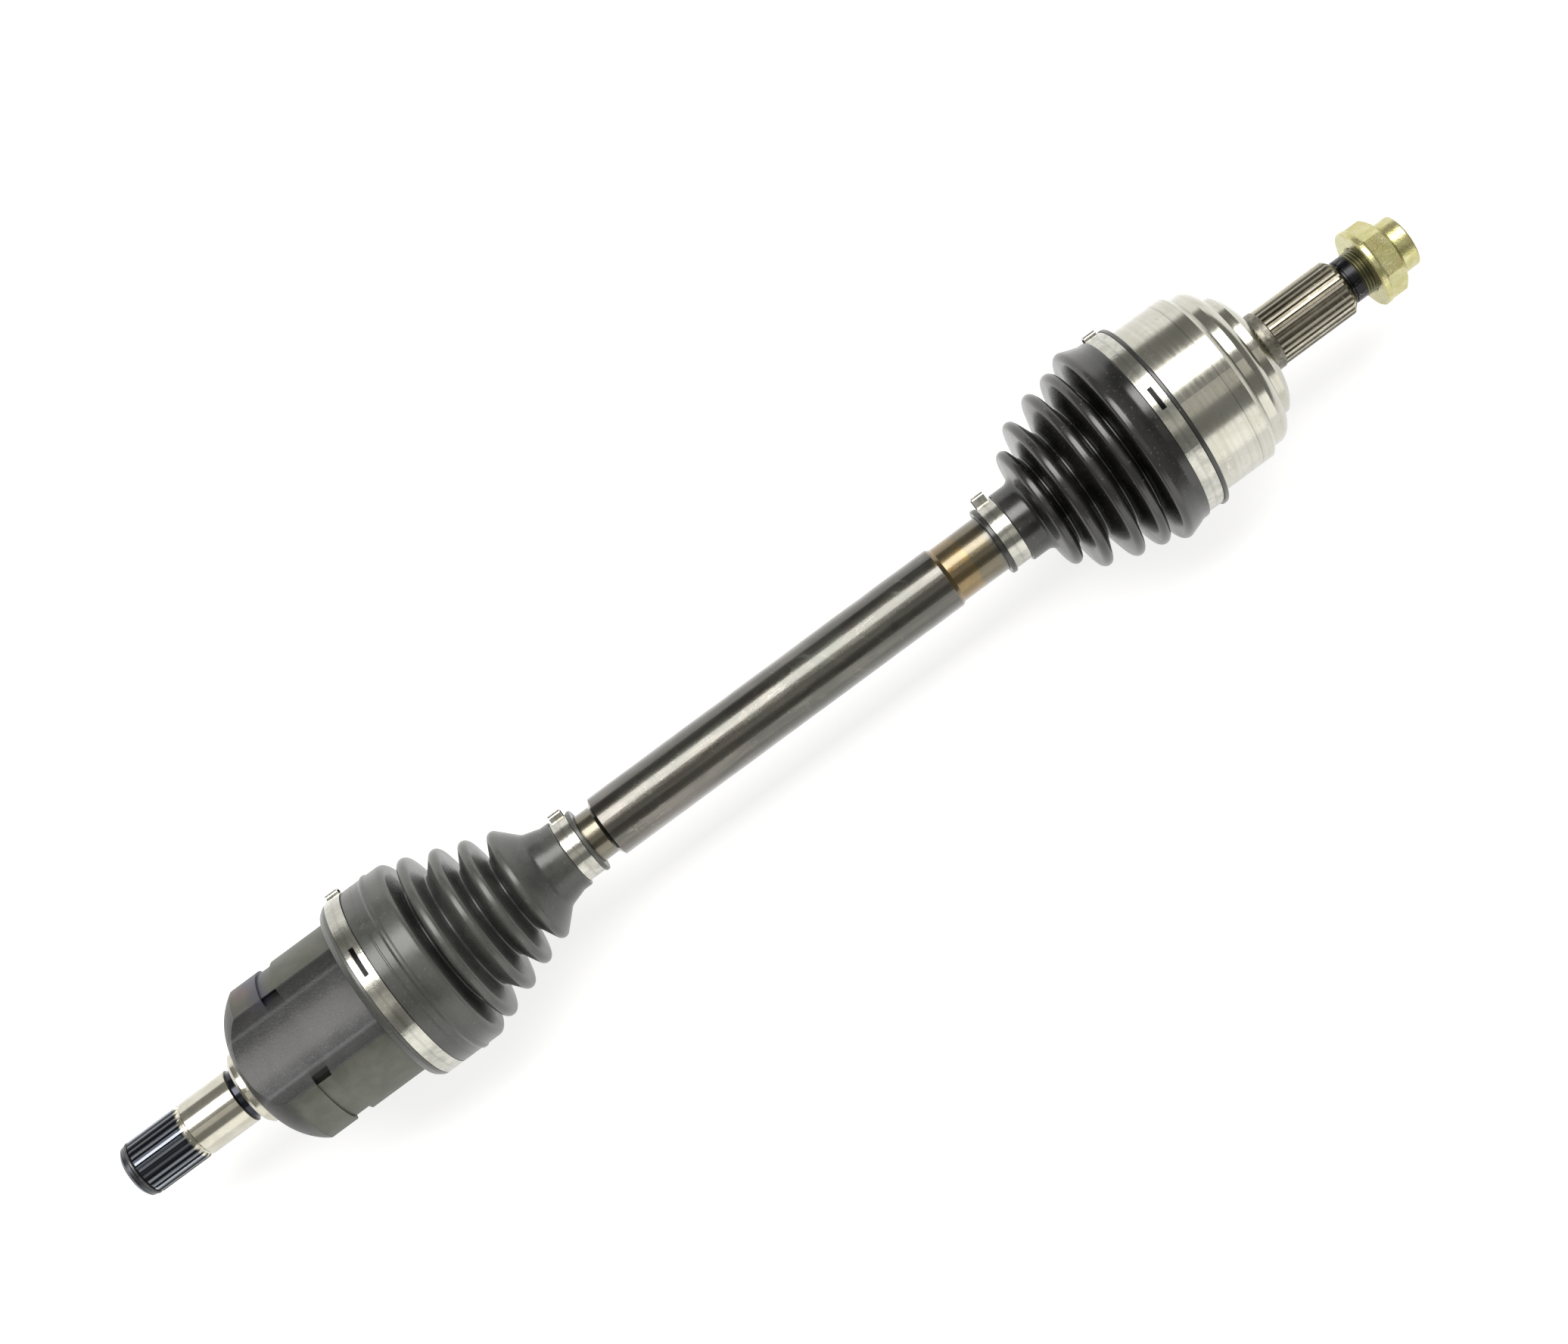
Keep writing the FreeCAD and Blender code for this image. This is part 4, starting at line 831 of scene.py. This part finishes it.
def inboard_boot():
    """Grey boot from the bar to the lobed housing, in two parts that meet in a valley.

    One part is on the bar's side and the other on the collar's side.
    """
    start_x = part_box("inboard_boot")[1].x
    bore = 12.0
    seat, bead, shoulder = bore + 2.4, bore + 3.8, bore + 4.7
    u_shoulder = 10.3
    u_wave = u_shoulder + 7.6
    u_face = (start_x - SPIDER_X) / MM - 41.7
    u_far = u_face + 34.0
    u_band = u_far - 12.9
    adapter = 42.817
    collar = adapter + 3.0
    corner = 2.5
    bends = [(u_wave + 2.5, shoulder + 7.0, 6.0, -1)]
    bends += shared_bends(INBOARD_PLEATS, u_wave, u_face, shoulder, collar)
    bends.append((u_face + corner, collar - corner - WALL / 2, corner, 1))
    small_out = small_end(bore, seat, bead, shoulder, 1.9, u_shoulder, u_shoulder + 4.5, 0.7)
    ring = u_face + 10.0
    large_out = rounded_line([
        (u_face + 5.0, collar, 0),
        (ring - 1.6, collar, 1.0), (ring - 0.5, collar + 0.7, 0.8),
        (ring + 0.5, collar + 0.7, 0.8), (ring + 1.6, collar, 1.0),
        (ring + 4.8, collar, 0.3), (ring + 5.1, collar - 0.25, 0.2),
        (ring + 5.6, collar - 0.25, 0.2), (ring + 5.9, collar, 0.3),
        (u_band, collar, 0.3), (u_band, collar - 0.6, 0.1),
        (u_band + CLAMP_SEAT, collar - 0.6, 0.1), (u_band + CLAMP_SEAT, collar, 0.3),
        (u_far - 3.0, collar, 2.6), (u_far - 0.2, collar - 2.0, 1.2), (u_far, adapter, 0)])
    small_in = np.array([(0.3, bore), (u_shoulder + 4.0, bore)])
    large_in = np.array([(u_face + 6.0, adapter), (u_far - 0.3, adapter)])
    outer = pleated_wall(small_out, bends, large_out, WALL / 2)
    inner = pleated_wall(small_in, bends, large_in, -WALL / 2, 5, 2)
    split_u = bends[SPLIT_BEND][0]
    bend_side, slide_side = (
        boot_grid(name, clip_line(outer, split_u, low_part), clip_line(inner, split_u, low_part),
                  start_x, -1, "boot_grey", u_wave, u_face - 1.0)
        for name, low_part in (("pleated_boot_inboard_bar_side", True),
                               ("pleated_boot_inboard_collar_side", False)))
    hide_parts("inboard_boot")
    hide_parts("inboard_boot")
    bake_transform(bend_side)
    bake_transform(slide_side)


outboard_boot()
inboard_boot()


# ---------------------------------------------------------------------------
# Floor, light and camera
# ---------------------------------------------------------------------------
def floor():
    """Pale floor that the axle lies on, 12 m square."""
    half = 6.0
    verts = np.array([[-half, -half, FLOOR_Z], [half, -half, FLOOR_Z],
                      [half, half, FLOOR_Z], [-half, half, FLOOR_Z]])
    piece = new_mesh("pale_floor", verts, np.array([[0, 1, 2, 3]]))
    material = new_material(
        "pale_floor", Roughness=0.9, Base_Color=(0.42, 0.42, 0.42, 1.0), Specular_IOR_Level=0.0,
        Emission_Color=(1.0, 1.0, 1.0, 1.0), Emission_Strength=0.72)[0]
    piece.data.materials.append(material)


def softbox(name, turn, distance, width, power, tint):
    """Area light along the axle that looks at it, turned about X from overhead towards +Y."""
    light = bpy.data.lights.new(name, "AREA")
    light.shape = "RECTANGLE"
    light.size = SOFTBOX_LENGTH
    light.size_y = width
    light.energy = power
    light.color = tint
    lamp = bpy.data.objects.new(name, light)
    bpy.context.scene.collection.objects.link(lamp)
    a = math.radians(turn)
    place = (CENTRE_X, distance * math.sin(a), distance * math.cos(a))
    lamp.matrix_world = Matrix.Translation(place) @ Matrix.Rotation(-a, 4, "X")


def world_light():
    """Soft light from all round, and a pale wall like the far floor behind the axle."""
    world = bpy.data.worlds.new("studio")
    world.use_nodes = True
    world.node_tree.nodes.clear()
    t = Tree(world.node_tree)
    room, wall = t.node("ShaderNodeBackground"), t.node("ShaderNodeBackground")
    room.inputs["Color"].default_value = (0.84, 0.83, 0.78, 1.0)
    room.inputs["Strength"].default_value = 0.30
    wall.inputs["Color"].default_value = (0.828, 0.828, 0.820, 1.0)
    seen = t.node("ShaderNodeMixShader")
    t.link(t.node("ShaderNodeLightPath").outputs["Is Camera Ray"], seen.inputs[0])
    t.link(room.outputs[0], seen.inputs[1])
    t.link(wall.outputs[0], seen.inputs[2])
    t.link(seen.outputs[0], t.node("ShaderNodeOutputWorld").inputs["Surface"])
    bpy.context.scene.world = world


def camera():
    """Straight down on the axle, which runs up to the right across the frame."""
    data = bpy.data.cameras.new("camera")
    data.lens = 59.07
    data.sensor_width = 36.0
    data.clip_start = 0.05
    data.clip_end = 50.0
    lens_object = bpy.data.objects.new("camera", data)
    bpy.context.scene.collection.objects.link(lens_object)
    right = Vector((math.cos(CAMERA_LEAN), -math.sin(CAMERA_LEAN), 0))
    up = Vector((math.sin(CAMERA_LEAN), math.cos(CAMERA_LEAN), 0))
    back = Vector((0, 0, 1))
    turn = Matrix((right, up, back)).transposed().to_4x4()
    lens_object.matrix_world = Matrix.Translation(CAMERA_PLACE) @ turn
    bpy.context.scene.camera = lens_object


floor()
camera()
world_light()
softbox("key_softbox", turn=31.5, distance=1.5, width=0.80, power=44.0, tint=(1.0, 0.99, 0.97))
softbox("low_fill", turn=-71.0, distance=1.5, width=1.05, power=12.0, tint=(1.0, 0.995, 0.97))
softbox("ceiling_glow", turn=-11.0, distance=1.7, width=0.6, power=2.2, tint=(1.0, 0.97, 0.88))
bpy.context.scene.view_settings.view_transform = "Standard"
